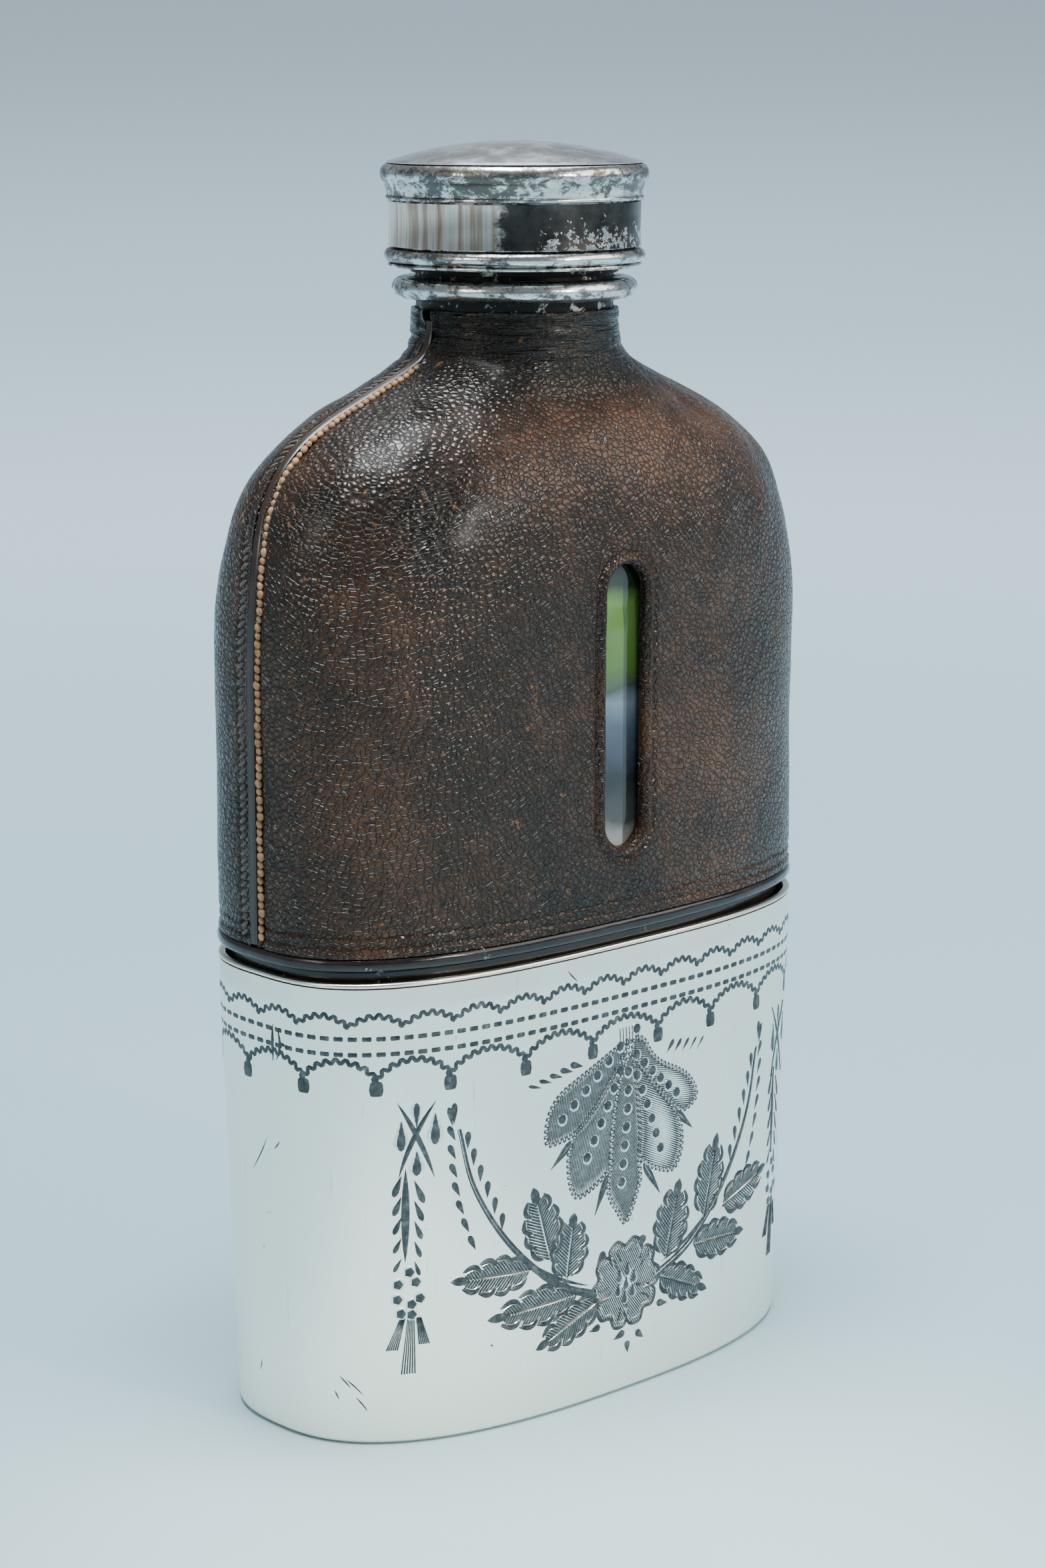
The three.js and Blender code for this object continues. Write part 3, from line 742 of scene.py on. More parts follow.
class Engraving:
    """Cuts laid out on the unrolled cup: s runs round the cup from the front centre,
    z up from the foot, both in millimetres. Each cut is a closed sliver with a ridge."""

    def __init__(self, name, material, rise=0.05):
        self.name = name
        self.material = material
        self.rise = rise
        self.points = []
        self.faces = []

    def stroke(self, path, widths, rise=None):
        path = np.array(path, float)
        widths = np.broadcast_to(np.asarray(widths, float), len(path))
        ahead = np.gradient(path, axis=0)
        ahead /= np.maximum(np.hypot(ahead[:, 0], ahead[:, 1]), 1e-9)[:, None]
        side = np.column_stack([-ahead[:, 1], ahead[:, 0]]) * widths[:, None] / 2
        ridge = self.rise if rise is None else rise
        start = len(self.points)
        for flank, lift in ((-1, 0.0), (0, ridge), (1, 0.0), (0, -0.12)):
            edge = path + side * flank
            lifts = np.full((len(path), 1), lift)
            self.points.extend(np.hstack([edge, lifts]))
        count = len(path)
        lanes = [start + k * count for k in range(4)]
        for i in range(count - 1):
            for k in range(4):
                a, b = lanes[k], lanes[(k + 1) % 4]
                self.faces.append((a + i, a + i + 1, b + i + 1, b + i))
        self.faces.append(tuple(lanes))
        self.faces.append(tuple(lane + count - 1 for lane in reversed(lanes)))

    def drop(self, tip, tail, width, rise=None):
        """A teardrop cut: full at the tip end, pointed at the tail."""
        tip, tail = np.array(tip, float), np.array(tail, float)
        t = np.array([0.0, 0.08, 0.22, 0.4, 0.65, 0.85, 1.0])
        shape = np.array([0.25, 0.72, 1.0, 0.95, 0.6, 0.3, 0.04])
        self.stroke(tip + (tail - tip) * t[:, None], width * shape, rise)

    def lens(self, a, b, width, bow=0.0, rise=None):
        """A cut pointed at both ends, bowed sideways by a share of its length."""
        a, b = np.array(a, float), np.array(b, float)
        t = np.linspace(0, 1, 9)
        across = np.array([-(b - a)[1], (b - a)[0]])
        path = a + (b - a) * t[:, None] + across * (bow * 4 * t * (1 - t))[:, None]
        self.stroke(path, width * (0.06 + np.sin(math.pi * t) ** 0.8), rise)

    def disc(self, centre, radius, lift, sides=10):
        """A low boss with its edge sunk into the metal."""
        start = len(self.points)
        self.points.append((*centre, lift))
        for reach, height in ((radius, lift * 0.55), (radius * 1.12, -0.1)):
            for i in range(sides):
                angle = 2 * math.pi * i / sides
                self.points.append((centre[0] + reach * math.cos(angle),
                                    centre[1] + reach * math.sin(angle), height))
        for i in range(sides):
            k = (i + 1) % sides
            self.faces.append((start, start + 1 + i, start + 1 + k))
            self.faces.append((start + 1 + i, start + 1 + sides + i,
                               start + 1 + sides + k, start + 1 + k))
        self.faces.append(tuple(start + 1 + sides + i for i in reversed(range(sides))))

    def hatch(self, outline, degrees, spacing, width, keep_clear=()):
        """Fills an outline with parallel lines; keep_clear is not used."""
        angle = math.radians(degrees)
        turn = np.array([[math.cos(angle), math.sin(angle)],
                         [-math.sin(angle), math.cos(angle)]])
        flat = np.array(outline) @ turn.T
        for level in np.arange(flat[:, 1].min() + spacing / 2, flat[:, 1].max(), spacing):
            crossings = []
            for a, b in zip(flat, np.roll(flat, -1, axis=0)):
                if (a[1] - level) * (b[1] - level) < 0:
                    crossings.append(a[0] + (b[0] - a[0]) * (level - a[1]) / (b[1] - a[1]))
            crossings.sort()
            for left, right in zip(crossings[::2], crossings[1::2]):
                self._line(left, right, level, turn, width)

    def _line(self, left, right, level, turn, width):
        if right - left < 0.25:
            return
        t = np.array([0, 0.12, 0.88, 1.0])
        row = np.column_stack([left + (right - left) * t, np.full(4, level)])
        self.stroke(row @ turn, width * np.array([0.3, 1, 1, 0.3]), 0.03)

    def finish(self, copies=(0.0,)):
        """Wraps the cuts on to the cup, once for each shift round it."""
        flat = np.array(self.points)
        points, faces = [], []
        for shift in copies:
            start = len(points)
            points.extend(on_cup(flat[:, 0] + shift, flat[:, 1], flat[:, 2]))
            faces.extend(tuple(start + i for i in face) for face in self.faces)
        obj = make_mesh(self.name, points, faces, flat=True)
        fit_out(obj, "cup", "cup_silver", self.material)


TABLE_HEIGHTS = np.arange(0, 68, 0.5)
TABLE_STEPS = 1440


def cup_table():
    fractions = np.linspace(-0.5, 0.5, TABLE_STEPS + 1)
    rows, around = [], []
    for z in TABLE_HEIGHTS:
        points, length = cup_section(z, fractions)
        rows.append(points[:, :2])
        around.append(length)
    return np.array(rows), np.array(around)


CUP_TABLE, CUP_AROUND = cup_table()
HALF_ROUND = float(CUP_AROUND[-20] / 2)
FRONT_AND_BACK = (0.0, HALF_ROUND)


def on_cup(s, z, lift):
    """Points on the cup's outside from unrolled coordinates."""
    def at(s, z):
        length = np.interp(z, TABLE_HEIGHTS, CUP_AROUND)
        turn = (np.mod(s / length + 0.5, 1.0)) * TABLE_STEPS
        column = np.clip(turn.astype(int), 0, TABLE_STEPS - 1)
        across = (turn - column)[:, None]
        level = np.clip(z / 0.5, 0, len(TABLE_HEIGHTS) - 1.001)
        row = level.astype(int)
        up = (level - row)[:, None]
        low = CUP_TABLE[row, column] * (1 - across) + CUP_TABLE[row, column + 1] * across
        high = CUP_TABLE[row + 1, column] * (1 - across) + CUP_TABLE[row + 1, column + 1] * across
        return low * (1 - up) + high * up
    here = at(s, z)
    tangent = at(s + 0.2, z) - at(s - 0.2, z)
    tangent /= np.hypot(tangent[:, 0], tangent[:, 1])[:, None]
    outward = np.column_stack([tangent[:, 1], -tangent[:, 0]])
    place = here + outward * lift[:, None]
    return np.column_stack([place, z])


def spline_point(p0, p1, p2, p3, t):
    """A point between p1 and p2 on the smooth curve through all four."""
    return 0.5 * (2 * p1 + (p2 - p0) * t + (2 * p0 - 5 * p1 + 4 * p2 - p3) * t * t
                  + (3 * p1 - p0 - 3 * p2 + p3) * t ** 3)


def closed_curve(points, steps=6):
    """A smooth closed outline through the points."""
    points = np.array(points, float)
    count = len(points)
    result = []
    for i in range(count):
        four = [points[(i + k) % count] for k in (-1, 0, 1, 2)]
        result += [spline_point(*four, j / steps) for j in range(steps)]
    return np.array(result)


def open_curve(points, count=24):
    """A smooth open line through the points, in equal steps."""
    points = np.array(points, float)
    padded = np.vstack([2 * points[0] - points[1], points, 2 * points[-1] - points[-2]])
    result = []
    for four in zip(padded, padded[1:], padded[2:], padded[3:]):
        result += [spline_point(*four, t) for t in np.linspace(0, 1, 16, endpoint=False)]
    result.append(points[-1])
    return even_steps(np.array(result), count)


def even_steps(path, count):
    length = np.concatenate([[0], np.cumsum(np.hypot(*np.diff(path, axis=0).T))])
    at = np.linspace(0, length[-1], count)
    return np.column_stack([np.interp(at, length, path[:, 0]), np.interp(at, length, path[:, 1])])


def ripple(path, pitch, depth):
    """A path turned into a wriggle of the given pitch and depth."""
    length = np.sum(np.hypot(*np.diff(path, axis=0).T))
    waves = max(2, round(length / pitch))
    even = even_steps(path, waves * 6 + 1)
    ahead = np.gradient(even, axis=0)
    ahead /= np.hypot(ahead[:, 0], ahead[:, 1])[:, None]
    side = np.column_stack([-ahead[:, 1], ahead[:, 0]])
    phase = np.arange(len(even)) * math.pi / 3
    return even + side * (np.sin(phase) * depth / 2)[:, None]


# Where the scallops of the lower border meet, round the front and the left-hand end; the
# rest of the way round they are evenly spaced.
SCALLOP_JOINS = [-63.2, -51.9, -41.5, -30.9, -18.6, -6.3, 6.6, 17.8, 29.5, 41.1]
SCALLOPS_BEHIND = 12


def scallop_joins():
    gap = (2 * HALF_ROUND - (SCALLOP_JOINS[-1] - SCALLOP_JOINS[0])) / SCALLOPS_BEHIND
    behind = [SCALLOP_JOINS[-1] + gap * k for k in range(1, SCALLOPS_BEHIND + 1)]
    return SCALLOP_JOINS + behind


def engrave_borders():
    """The wavy and dashed lines under the rim, and the scallops with their drops."""
    cuts = Engraving("engraved_borders", ENGRAVED)
    joins = scallop_joins()
    for left, right in zip(joins, joins[1:]):
        t = np.linspace(0, 1, 40)
        arch = np.column_stack([left + (right - left) * t,
                                53.0 + 2.9 * np.sin(math.pi * t) ** 0.6])
        cuts.stroke(ripple(arch, 1.4, 0.66), 0.62)
        cuts.stroke([(left, 53.0), (left, 52.7), (left, 51.8), (left, 51.1), (left, 50.9)],
                    [1.3, 1.8, 2.0, 1.7, 1.3], 0.07)
        cuts.stroke([(left, 54.0), (left, 52.9)], [0.9, 0.6], 0.06)
    waves = 32
    width = 2 * HALF_ROUND / waves
    for k in range(waves):
        left = -HALF_ROUND + k * width
        t = np.linspace(0, 1, 24)
        arch = np.column_stack([left + width * t, 60.75 + 1.5 * np.sin(math.pi * t) ** 0.8])
        cuts.stroke(ripple(arch, 1.3, 0.68), 0.56)
    dashes = 124
    step = 2 * HALF_ROUND / dashes
    for k in range(dashes):
        s = -HALF_ROUND + k * step
        for z in (59.05, 56.85):
            cuts.stroke([(s - 0.66, z), (s - 0.5, z), (s + 0.5, z), (s + 0.66, z)],
                        [0.45, 0.7, 0.7, 0.5], 0.05)
    # A small pointed mark closes the dashed lines near the left-hand end.
    cuts.lens((-57.5, 54.4), (-57.5, 59.7), 0.6, 0.02, 0.07)
    cuts.lens((-56.9, 54.6), (-56.6, 59.2), 0.5, -0.14, 0.07)
    cuts.lens((-56.1, 57.2), (-55.0, 57.0), 0.5, 0.0)
    cuts.finish()


# The hanging motif's five lobes, each an outline of (s, z) corners from its root round its
# tip, with the direction of its hatching, and a line of dots from root to tip.
LOBES = [
    ([(1.0, 52.2), (-2.5, 51.2), (-5.6, 49.9), (-9.2, 48.4), (-12.5, 46.8), (-14.4, 44.6),
      (-15.1, 42.0), (-14.8, 40.1), (-12.6, 40.1), (-9.9, 40.7), (-7.6, 42.3), (-5.4, 44.3),
      (-2.8, 47.2), (-0.4, 50.0)], 80, [(-1.0, 51.7), (-4.8, 48.9), (-12.2, 43.3)], 6),
    ([(-0.2, 50.4), (-2.8, 47.0), (-5.4, 44.2), (-7.6, 42.2), (-9.9, 40.4), (-11.0, 37.6),
      (-10.9, 34.2), (-10.1, 31.8), (-8.8, 31.2), (-6.5, 32.0), (-4.4, 33.1), (-3.0, 34.4),
      (-2.7, 38.4), (-2.0, 43.0), (-0.9, 47.0)], 78, [(-1.0, 48.2), (-3.6, 43.4), (-7.6, 36.7)], 6),
    ([(1.4, 50.6), (-0.8, 47.0), (-2.0, 43.0), (-2.7, 38.4), (-3.1, 34.0), (-3.5, 31.2),
      (-3.1, 29.6), (-1.8, 27.6), (-0.2, 25.4), (1.1, 27.0), (2.3, 29.6), (2.9, 31.4),
      (2.7, 34.6), (2.9, 38.4), (2.5, 43.0), (2.0, 47.0)], 55,
     [(0.6, 47.7), (0.3, 41.5), (-0.9, 31.6)], 7),
    ([(1.9, 50.4), (2.1, 46.6), (2.6, 43.0), (3.0, 38.4), (2.8, 34.8), (4.4, 33.1),
      (7.0, 31.8), (9.3, 31.2), (10.6, 32.0), (11.5, 34.3), (11.4, 37.0), (10.2, 39.9),
      (8.0, 42.4), (5.2, 45.4)], 155, [(2.3, 46.8), (4.4, 42.0), (7.0, 35.0)], 6),
    ([(2.2, 52.4), (3.9, 51.6), (5.4, 49.3), (7.5, 47.6), (10.5, 46.1), (12.8, 44.6),
      (14.4, 42.5), (14.6, 41.0), (13.3, 40.0), (11.6, 39.7), (9.8, 40.8), (7.6, 43.0),
      (5.0, 45.8), (2.8, 48.6), (1.6, 51.0)], 172, [(2.2, 49.9), (5.4, 46.9), (10.4, 42.6)], 6),
]
LOBE_SPIKES = [((-10.2, 39.8), (-14.3, 36.3)), ((-3.6, 33.2), (-6.1, 27.8)),
               ((3.6, 33.3), (7.0, 28.1)), ((10.2, 39.8), (13.9, 36.4))]


def engrave_motif():
    """The hanging leaf of five dotted lobes, on both broad faces."""
    cuts = Engraving("engraved_hanging_leaf", ENGRAVED)
    bright = Engraving("engraved_hanging_leaf_bright", BRIGHT_CUT)
    for corners, degrees, (root, belly, tip), dots in LOBES:
        outline = closed_curve(corners)
        cuts.hatch(outline, degrees, 0.31, 0.285)
        loop = np.vstack([outline, outline[:1]])
        bright.stroke(loop, 0.62, 0.06)
        cuts.stroke(ripple(loop, 0.85, 0.66), 0.38, 0.10)
        for centre in open_curve([root, belly, tip], dots):
            bright.disc(centre + np.array([0.10, -0.16]), 0.92, 0.08)
            cuts.disc(centre, 0.74, 0.13, 7)
    bright.disc((2.3, 53.6), 0.95, 0.09)
    cuts.disc((2.3, 53.7), 0.74, 0.13, 7)
    for k in range(7):
        s = -1.0 + 0.6 * k
        cuts.lens((s, 54.3), (s + 0.12, 51.6), 0.2, 0.0, 0.1)
    for a, b in LOBE_SPIKES:
        cuts.drop(a, b, 1.25, 0.1)
        middle = (np.array(a) + np.array(b)) / 2
        bright.lens(a, middle, 0.3, 0.0, 0.13)
    for k in range(5):
        size = 1.0 - 0.12 * k
        cuts.drop((-10.6 - 1.9 * k, 50.9 - 0.42 * k), (-8.2 - 1.9 * k, 50.2 - 0.42 * k), 1.0 * size)
        cuts.drop((9.9 + 1.6 * k, 50.6 - 0.2 * k), (8.4 + 1.6 * k, 48.9 - 0.2 * k), 0.75 * size)
    cuts.finish(FRONT_AND_BACK)
    bright.finish(FRONT_AND_BACK)


def leaf(cuts, bright, base, tip, width, lobes=4):
    """A lobed leaf: dark hatching either side of a bright midrib, and a bold curved cut
    along the outer edge of every lobe."""
    base, tip = np.array(base, float), np.array(tip, float)
    axis = tip - base
    side = np.array([-axis[1], axis[0]]) / np.hypot(*axis)
    lean = math.degrees(math.atan2(axis[1], axis[0]))

    def at(t, across):
        return base + axis * t + side * across

    def half(t):
        return width / 2 * math.sin(math.pi * min(max(t, 0.02), 0.98) ** 0.8) ** 0.7

    for sign in (1, -1):
        blade = [at(0.0, 0.0)]
        for i in range(lobes):
            low, high = 0.06 + 0.80 * i / lobes, 0.06 + 0.80 * (i + 1) / lobes
            middle = (low + high) / 2
            notch = at(low, sign * 0.58 * half(low + 0.05))
            swell = at(middle, sign * 1.02 * half(middle))
            point = at(high + 0.03, sign * 0.98 * half(high))
            blade += [notch, swell, point, at(high - 0.01, sign * 0.66 * half(high))]
            edge = open_curve([notch, swell, point], 9)
            shape = np.array([0.15, 0.6, 0.95, 1.0, 1.0, 0.95, 0.8, 0.55, 0.2])
            cuts.stroke(edge, 0.85 * shape, 0.11)
            inner = edge - side * (sign * 0.42)
            bright.stroke(inner[1:8], 0.17, 0.12)
        blade.append(at(0.93, 0.0))
        cuts.hatch(blade, lean + sign * 52, 0.40, 0.385)
    cuts.lens(at(0.80, 0), at(1.03, 0), width * 0.24, 0.0, 0.12)
    bright.lens(at(-0.02, 0.12), at(0.84, 0.0), 0.26, 0.0, 0.13)
    cuts.lens(at(0.0, -0.22), at(0.82, -0.18), 0.36, 0.0, 0.12)


FLOWER = (0.0, 16.2)
LEFT_LEAVES = [((-14.4, 23.0), (-17.4, 34.0), 6.4), ((-11.6, 19.6), (-10.1, 28.8), 6.6),
               ((-17.8, 22.3), (-30.6, 23.0), 5.2), ((-9.6, 16.8), (-24.8, 16.4), 5.4),
               ((-5.4, 15.0), (-16.8, 10.4), 5.2)]
RIGHT_LEAVES = [((16.4, 22.2), (19.5, 33.9), 6.0), ((8.0, 18.0), (11.0, 29.0), 6.8),
                ((20.8, 22.8), (33.2, 25.6), 5.4), ((14.0, 18.6), (26.3, 17.5), 5.4),
                ((6.6, 15.8), (16.9, 11.0), 5.0)]


def engrave_spray():
    """A flower between two leafy stems that climb out to the sides."""
    cuts = Engraving("engraved_flower_spray", ENGRAVED)
    bright = Engraving("engraved_flower_spray_bright", BRIGHT_CUT)
    for side in (-1, 1):
        stem = open_curve([(side * 29.6, 45.0), (side * 27.2, 36.0), (side * 21.6, 27.0),
                           (side * 13.6, 19.4), (side * 5.8, 15.8)], 40)
        cuts.stroke(stem, np.linspace(0.62, 1.25, 40), 0.08)
        bright.stroke(stem + np.array([0.18 * side, 0.22]), 0.16, 0.12)
        for offset in (0.9, 1.7):
            cuts.lens((side * (20.5 - offset), 24.4 - 0.2 * offset),
                      (side * (6.2 + offset), 17.2 + 0.4 * offset), 0.45, side * 0.05)
        for k in range(7):
            z = 45.0 - 2.72 * k
            out = 30.9 - 0.06 * k ** 2.2
            cuts.drop((side * (out + 0.35), z + 0.7), (side * (out - 0.7), z - 1.5), 0.95)
        for k in range(6):
            z = 43.6 - 2.55 * k
            inn = 28.1 - 0.9 * k ** 1.12
            cuts.drop((side * (inn + 0.1), z + 0.9), (side * (inn + 0.2), z - 1.6), 1.0)
        cuts.drop((side * 30.3, 48.9), (side * 30.4, 45.8), 1.0)
        cuts.drop((side * 31.2, 48.4), (side * 30.6, 45.6), 0.8)
    for base, tip, width in LEFT_LEAVES + RIGHT_LEAVES:
        leaf(cuts, bright, base, tip, width)
    engrave_flower(cuts, bright)
    for tip, tail in (((-5.2, 10.9), (-7.3, 10.6)), ((6.2, 11.6), (8.4, 11.1)),
                      ((-0.4, 8.9), (-2.6, 8.2)), ((1.9, 8.4), (3.4, 7.1)), ((0.1, 7.4), (0.2, 5.6))):
        cuts.drop(tip, tail, 1.15, 0.08)
    for tip, tail in (((-4.2, 21.9), (-5.8, 20.2)), ((3.6, 22.6), (2.9, 20.8))):
        cuts.drop(tip, tail, 1.4, 0.08)
    cuts.finish(FRONT_AND_BACK)
    bright.finish(FRONT_AND_BACK)


def engrave_flower(cuts, bright):
    """A five-petalled flower: each petal notched at its tip, edged with one bold cut and
    filled with fine slanting lines, round a cluster of seven oval seeds."""
    centre = np.array(FLOWER)
    petals = 5
    for k in range(petals):
        angle = math.radians(90 + 72 * k)
        out = np.array([math.cos(angle), math.sin(angle)])
        across = np.array([-out[1], out[0]])
        shape = [(0.9, 0.5), (3.2, 2.7), (5.3, 3.3), (6.5, 1.7), (5.7, 0.1), (6.6, -1.5),
                 (5.4, -3.2), (3.1, -2.8), (0.9, -0.5)]
        outline = closed_curve([centre + out * reach + across * aside for reach, aside in shape])
        cuts.hatch(outline, 118 + 9 * (k % 2), 0.33, 0.27)
        rim = open_curve([centre + out * reach + across * aside for reach, aside in shape[1:8]],
                         30)
        cuts.stroke(rim, 0.55 * np.sin(np.linspace(0.25, math.pi - 0.25, 30)) ** 0.35, 0.11)
        bright.stroke(centre + (rim - centre) * 0.87, 0.20, 0.12)
        cuts.lens(centre + out * 3.4 + across * 0.9, centre + out * 5.4 + across * 1.7, 0.34, 0.1,
                  0.11)
    spots = [centre]
    for k in range(6):
        angle = math.radians(60 * k + 20)
        spots.append(centre + np.array([1.7 * math.cos(angle), 2.1 * math.sin(angle)]))
    for spot in spots:
        bright.drop(spot + np.array([0.1, -1.05]), spot + np.array([0.1, 0.9]), 1.35, 0.09)
        cuts.drop(spot + np.array([0.0, -0.90]), spot + np.array([0.0, 0.85]), 1.20, 0.15)


TASSEL_S = 36.8


def engrave_tassels():
    """Crossed ribbons with a string of leaves and beads and a skirt, left and right."""
    cuts = Engraving("engraved_tassels", ENGRAVED)
    bright = Engraving("engraved_tassels_bright", BRIGHT_CUT)
    for side in (-1, 1):
        def at(ds, z):
            return (side * TASSEL_S + ds, z)
        cuts.lens(at(-1.9, 49.9), at(3.5, 38.6), 0.75, 0.03, 0.1)
        cuts.lens(at(3.7, 49.6), at(-1.7, 39.0), 0.75, -0.05, 0.1)
        petals = ((at(0.9, 49.6), at(0.9, 46.0), 1.3), (at(-1.3, 42.9), at(-1.3, 47.2), 1.7),
                  (at(3.6, 43.4), at(3.6, 47.9), 1.9), (at(0.9, 39.2), at(0.9, 42.7), 1.8))
        for tip, tail, width in petals:
            bright.drop(tip, tail, width * 1.35, 0.06)
            cuts.drop(tip, tail, width, 0.09)
        cuts.lens(at(-0.7, 40.3), at(-0.8, 26.8), 1.15, 0.0, 0.12)
        for k in range(5):
            z = 37.8 - 2.85 * k
            size = 1.0 - 0.09 * k
            cuts.drop(at(-2.4, z - 1.4 * size), at(-1.3, z + 1.6 * size), 1.0 * size, 0.09)
            cuts.drop(at(1.9 - 0.16 * k, z - 2.6 * size), at(0.5, z + 0.8 * size), 1.0 * size, 0.09)
        beads = ((-0.2, 25.3), (-1.8, 23.6), (0.7, 23.8), (-1.9, 21.4), (1.3, 21.4),
                 (0.1, 20.6), (-1.4, 19.3), (0.1, 19.1))
        for ds, z in beads:
            bright.disc(at(ds, z), 0.92, 0.07)
            cuts.disc(at(ds, z), 0.74, 0.12, 5)
        skirts = ((-1.2, 18.6, -2.7, 14.0, 1.5), (0.0, 18.8, -0.4, 10.4, 1.9),
                  (1.1, 18.6, 1.9, 14.6, 1.4))
        for top, z_top, foot, z_foot, width in skirts:
            lines = 6
            for k in range(lines):
                f = k / (lines - 1) - 0.5
                cuts.stroke([at(top + f * width * 0.45, z_top), at(foot + f * width, z_foot)],
                            [0.16, 0.24], 0.07)
    cuts.finish(FRONT_AND_BACK)
    bright.finish(FRONT_AND_BACK)


def engrave_scratches():
    """Stray nicks from use: short fine lines on the blank parts of the cup."""
    cuts = Engraving("cup_use_marks", ENGRAVED, 0.01)
    nicks = [((-59.0, 43.2), (-62.6, 37.4)), ((-56.4, 43.0), (-57.6, 41.6)),
             ((-46.9, 10.2), (-45.2, 8.4)), ((-46.0, 9.8), (-43.4, 7.4)),
             ((-47.6, 8.0), (-46.9, 6.6)), ((-44.6, 7.2), (-42.8, 5.0)),
             ((-61.2, 9.4), (-61.6, 7.6)), ((-24.8, 12.8), (-24.4, 12.4)),
             ((-9.0, 62.6), (-11.0, 64.6)), ((38.0, 31.0), (39.4, 27.4))]
    for a, b in nicks:
        cuts.lens(a, b, 0.22, 0.03, 0.02)
    cuts.finish()


# ------------------------------------------------------------------ leather cover

def window_distance(x, z):
    """Distance outside the sight slot's outline, negative inside."""
    beyond = np.maximum(np.abs(z - WINDOW_MIDDLE) - WINDOW_STRAIGHT, 0)
    return np.hypot(x, beyond) - WINDOW_HALF_WIDTH


def leather_relief(x, y, z, length, front):
    """How far the cover's outside stands from its plain outline."""
    relief = 0.22 * wobble(x / 17, y / 17, z / 14, 3.0)
    relief += 0.07 * wobble(x / 5, y / 5, z / 4, 9.0)
    # Dimples over the shoulder, then the two tooled lines above the hem.
    shoulder = smooth(118, 128, z) * smooth(148, 140, z)
    relief += 0.42 * shoulder * wobble(x / 8, y / 8, z / 9, 14.0)
    for groove in (73.1, 71.6):
        relief -= 0.20 * np.exp(-((z - groove) / 0.30) ** 2)
    relief += 0.12 * smooth(71.4, 70.9, z)

    # The sight slot's raised lip, the groove round it and its rounded edge.
    distance = window_distance(x, z)
    relief += 0.42 * np.exp(-((distance - 0.75) / 0.42) ** 2)
    relief -= 0.28 * np.exp(-((distance - 1.75) / 0.35) ** 2)
    relief -= 0.45 * smooth(0.40, -0.1, distance)

    # Gathers at the neck, and lines of stretched hide that fan out over the right shoulder.
    fold = smooth(144.5, 150.5, z) * (0.35 + 0.65 * smooth(12.0, -6.0, x))
    ridges = wobble(x / 8, y / 8, z / 1.15 + 0.05 * x, 21.0)
    relief -= 0.75 * fold * np.maximum(ridges, -0.05)
    stretch = smooth(128, 141, z) * smooth(153, 147, z) * smooth(-4, 6, x)
    angle = np.arctan2(x, -y)
    rays = wobble(angle * 9.0, z / 9, length / 11, 33.0)
    relief -= 0.30 * stretch * np.maximum(rays, -0.1)

    # The seam: a channel for the front stitches, a turned edge behind, and both halves
    # gaping at the top.
    from_seam = np.abs(y - seam_centre(z))
    if front:
        relief -= 0.42 * np.exp(-((from_seam - 1.5) / 0.42) ** 2) * smooth(0, 1, np.abs(x) / 5)
    else:
        relief += 0.26 * np.exp(-((from_seam - 0.75) / 0.35) ** 2)
        relief -= 0.16 * np.exp(-((from_seam - 2.9) / 0.35) ** 2)
    open_top = smooth(151.5, 154.5, z) * smooth(2.6, 0.5, from_seam)
    relief += 0.55 * open_top
    return relief


def build_leather(front):
    sign = -1 if front else 1
    columns = graded((0, 6.8, 0.26), (6.8, 54, 0.85), (54, 59.6, 0.24))
    share = columns / columns[-1]
    share = np.concatenate([-share[:0:-1], share])
    top = length_at_height(NECK_Z)
    slot_low = length_at_height(WINDOW_BOTTOM - 2)
    slot_high = length_at_height(WINDOW_TOP + 2)
    fine = length_at_height(141)
    lengths = graded((0, 4.2, 0.2), (4.2, slot_low, 0.6), (slot_low, slot_low + 7, 0.3),
                     (slot_low + 7, slot_high - 8, 0.7), (slot_high - 8, slot_high, 0.32),
                     (slot_high, fine, 0.62), (fine, top, 0.30))
    rows = []
    for a, b, n, z in zip(*profile_at(lengths)):
        _, _, around = section(a, b, n, [0.0])
        quarter = around / 4
        past = seam_centre(z) if front else -seam_centre(z)
        edge = quarter - SEAM_GAP + past
        fraction = share * edge / around
        if not front:
            fraction = 0.5 - fraction
        x, y, _ = section(a, b, n, fraction)
        rows.append(np.column_stack([x, y, np.full(len(x), z)]))
    base = np.array(rows)
    across = np.gradient(base, axis=1)
    along = np.gradient(base, axis=0)
    normal = np.cross(across, along)
    if not front:
        normal = -normal
    normal /= np.linalg.norm(normal, axis=2)[:, :, None]
    x, y, z = base[:, :, 0], base[:, :, 1], base[:, :, 2]
    relief = leather_relief(x, y, z, lengths[:, None] + 0 * x, front)
    thickness = 1.5 - 1.05 * smooth(145.5, 150.5, z)
    outer = base + normal * relief[:, :, None]
    inner = base - normal * thickness[:, :, None]
    count, width = x.shape
    points = np.vstack([outer.reshape(-1, 3), inner.reshape(-1, 3)])
    half = count * width
    faces = grid_faces(count, width, False, 0, not front)
    faces += grid_faces(count, width, False, half, front)
    rim = (list(range(width))
           + [i * width + width - 1 for i in range(1, count)]
           + [(count - 1) * width + j for j in range(width - 2, -1, -1)]
           + [i * width for i in range(count - 2, 0, -1)])
    for i, j in zip(rim, rim[1:] + rim[:1]):
        quad = (j, i, half + i, half + j)
        faces.append(quad if front else quad[::-1])
    side = "front" if front else "back"
    obj = make_mesh(f"leather_{side}_hide", points, faces)
    cut(obj, window_cutter(sign))
    sharpen(obj, 50)
    fit_out(obj, "flask", "brown_leather", LEATHER, f"leather_{side}")


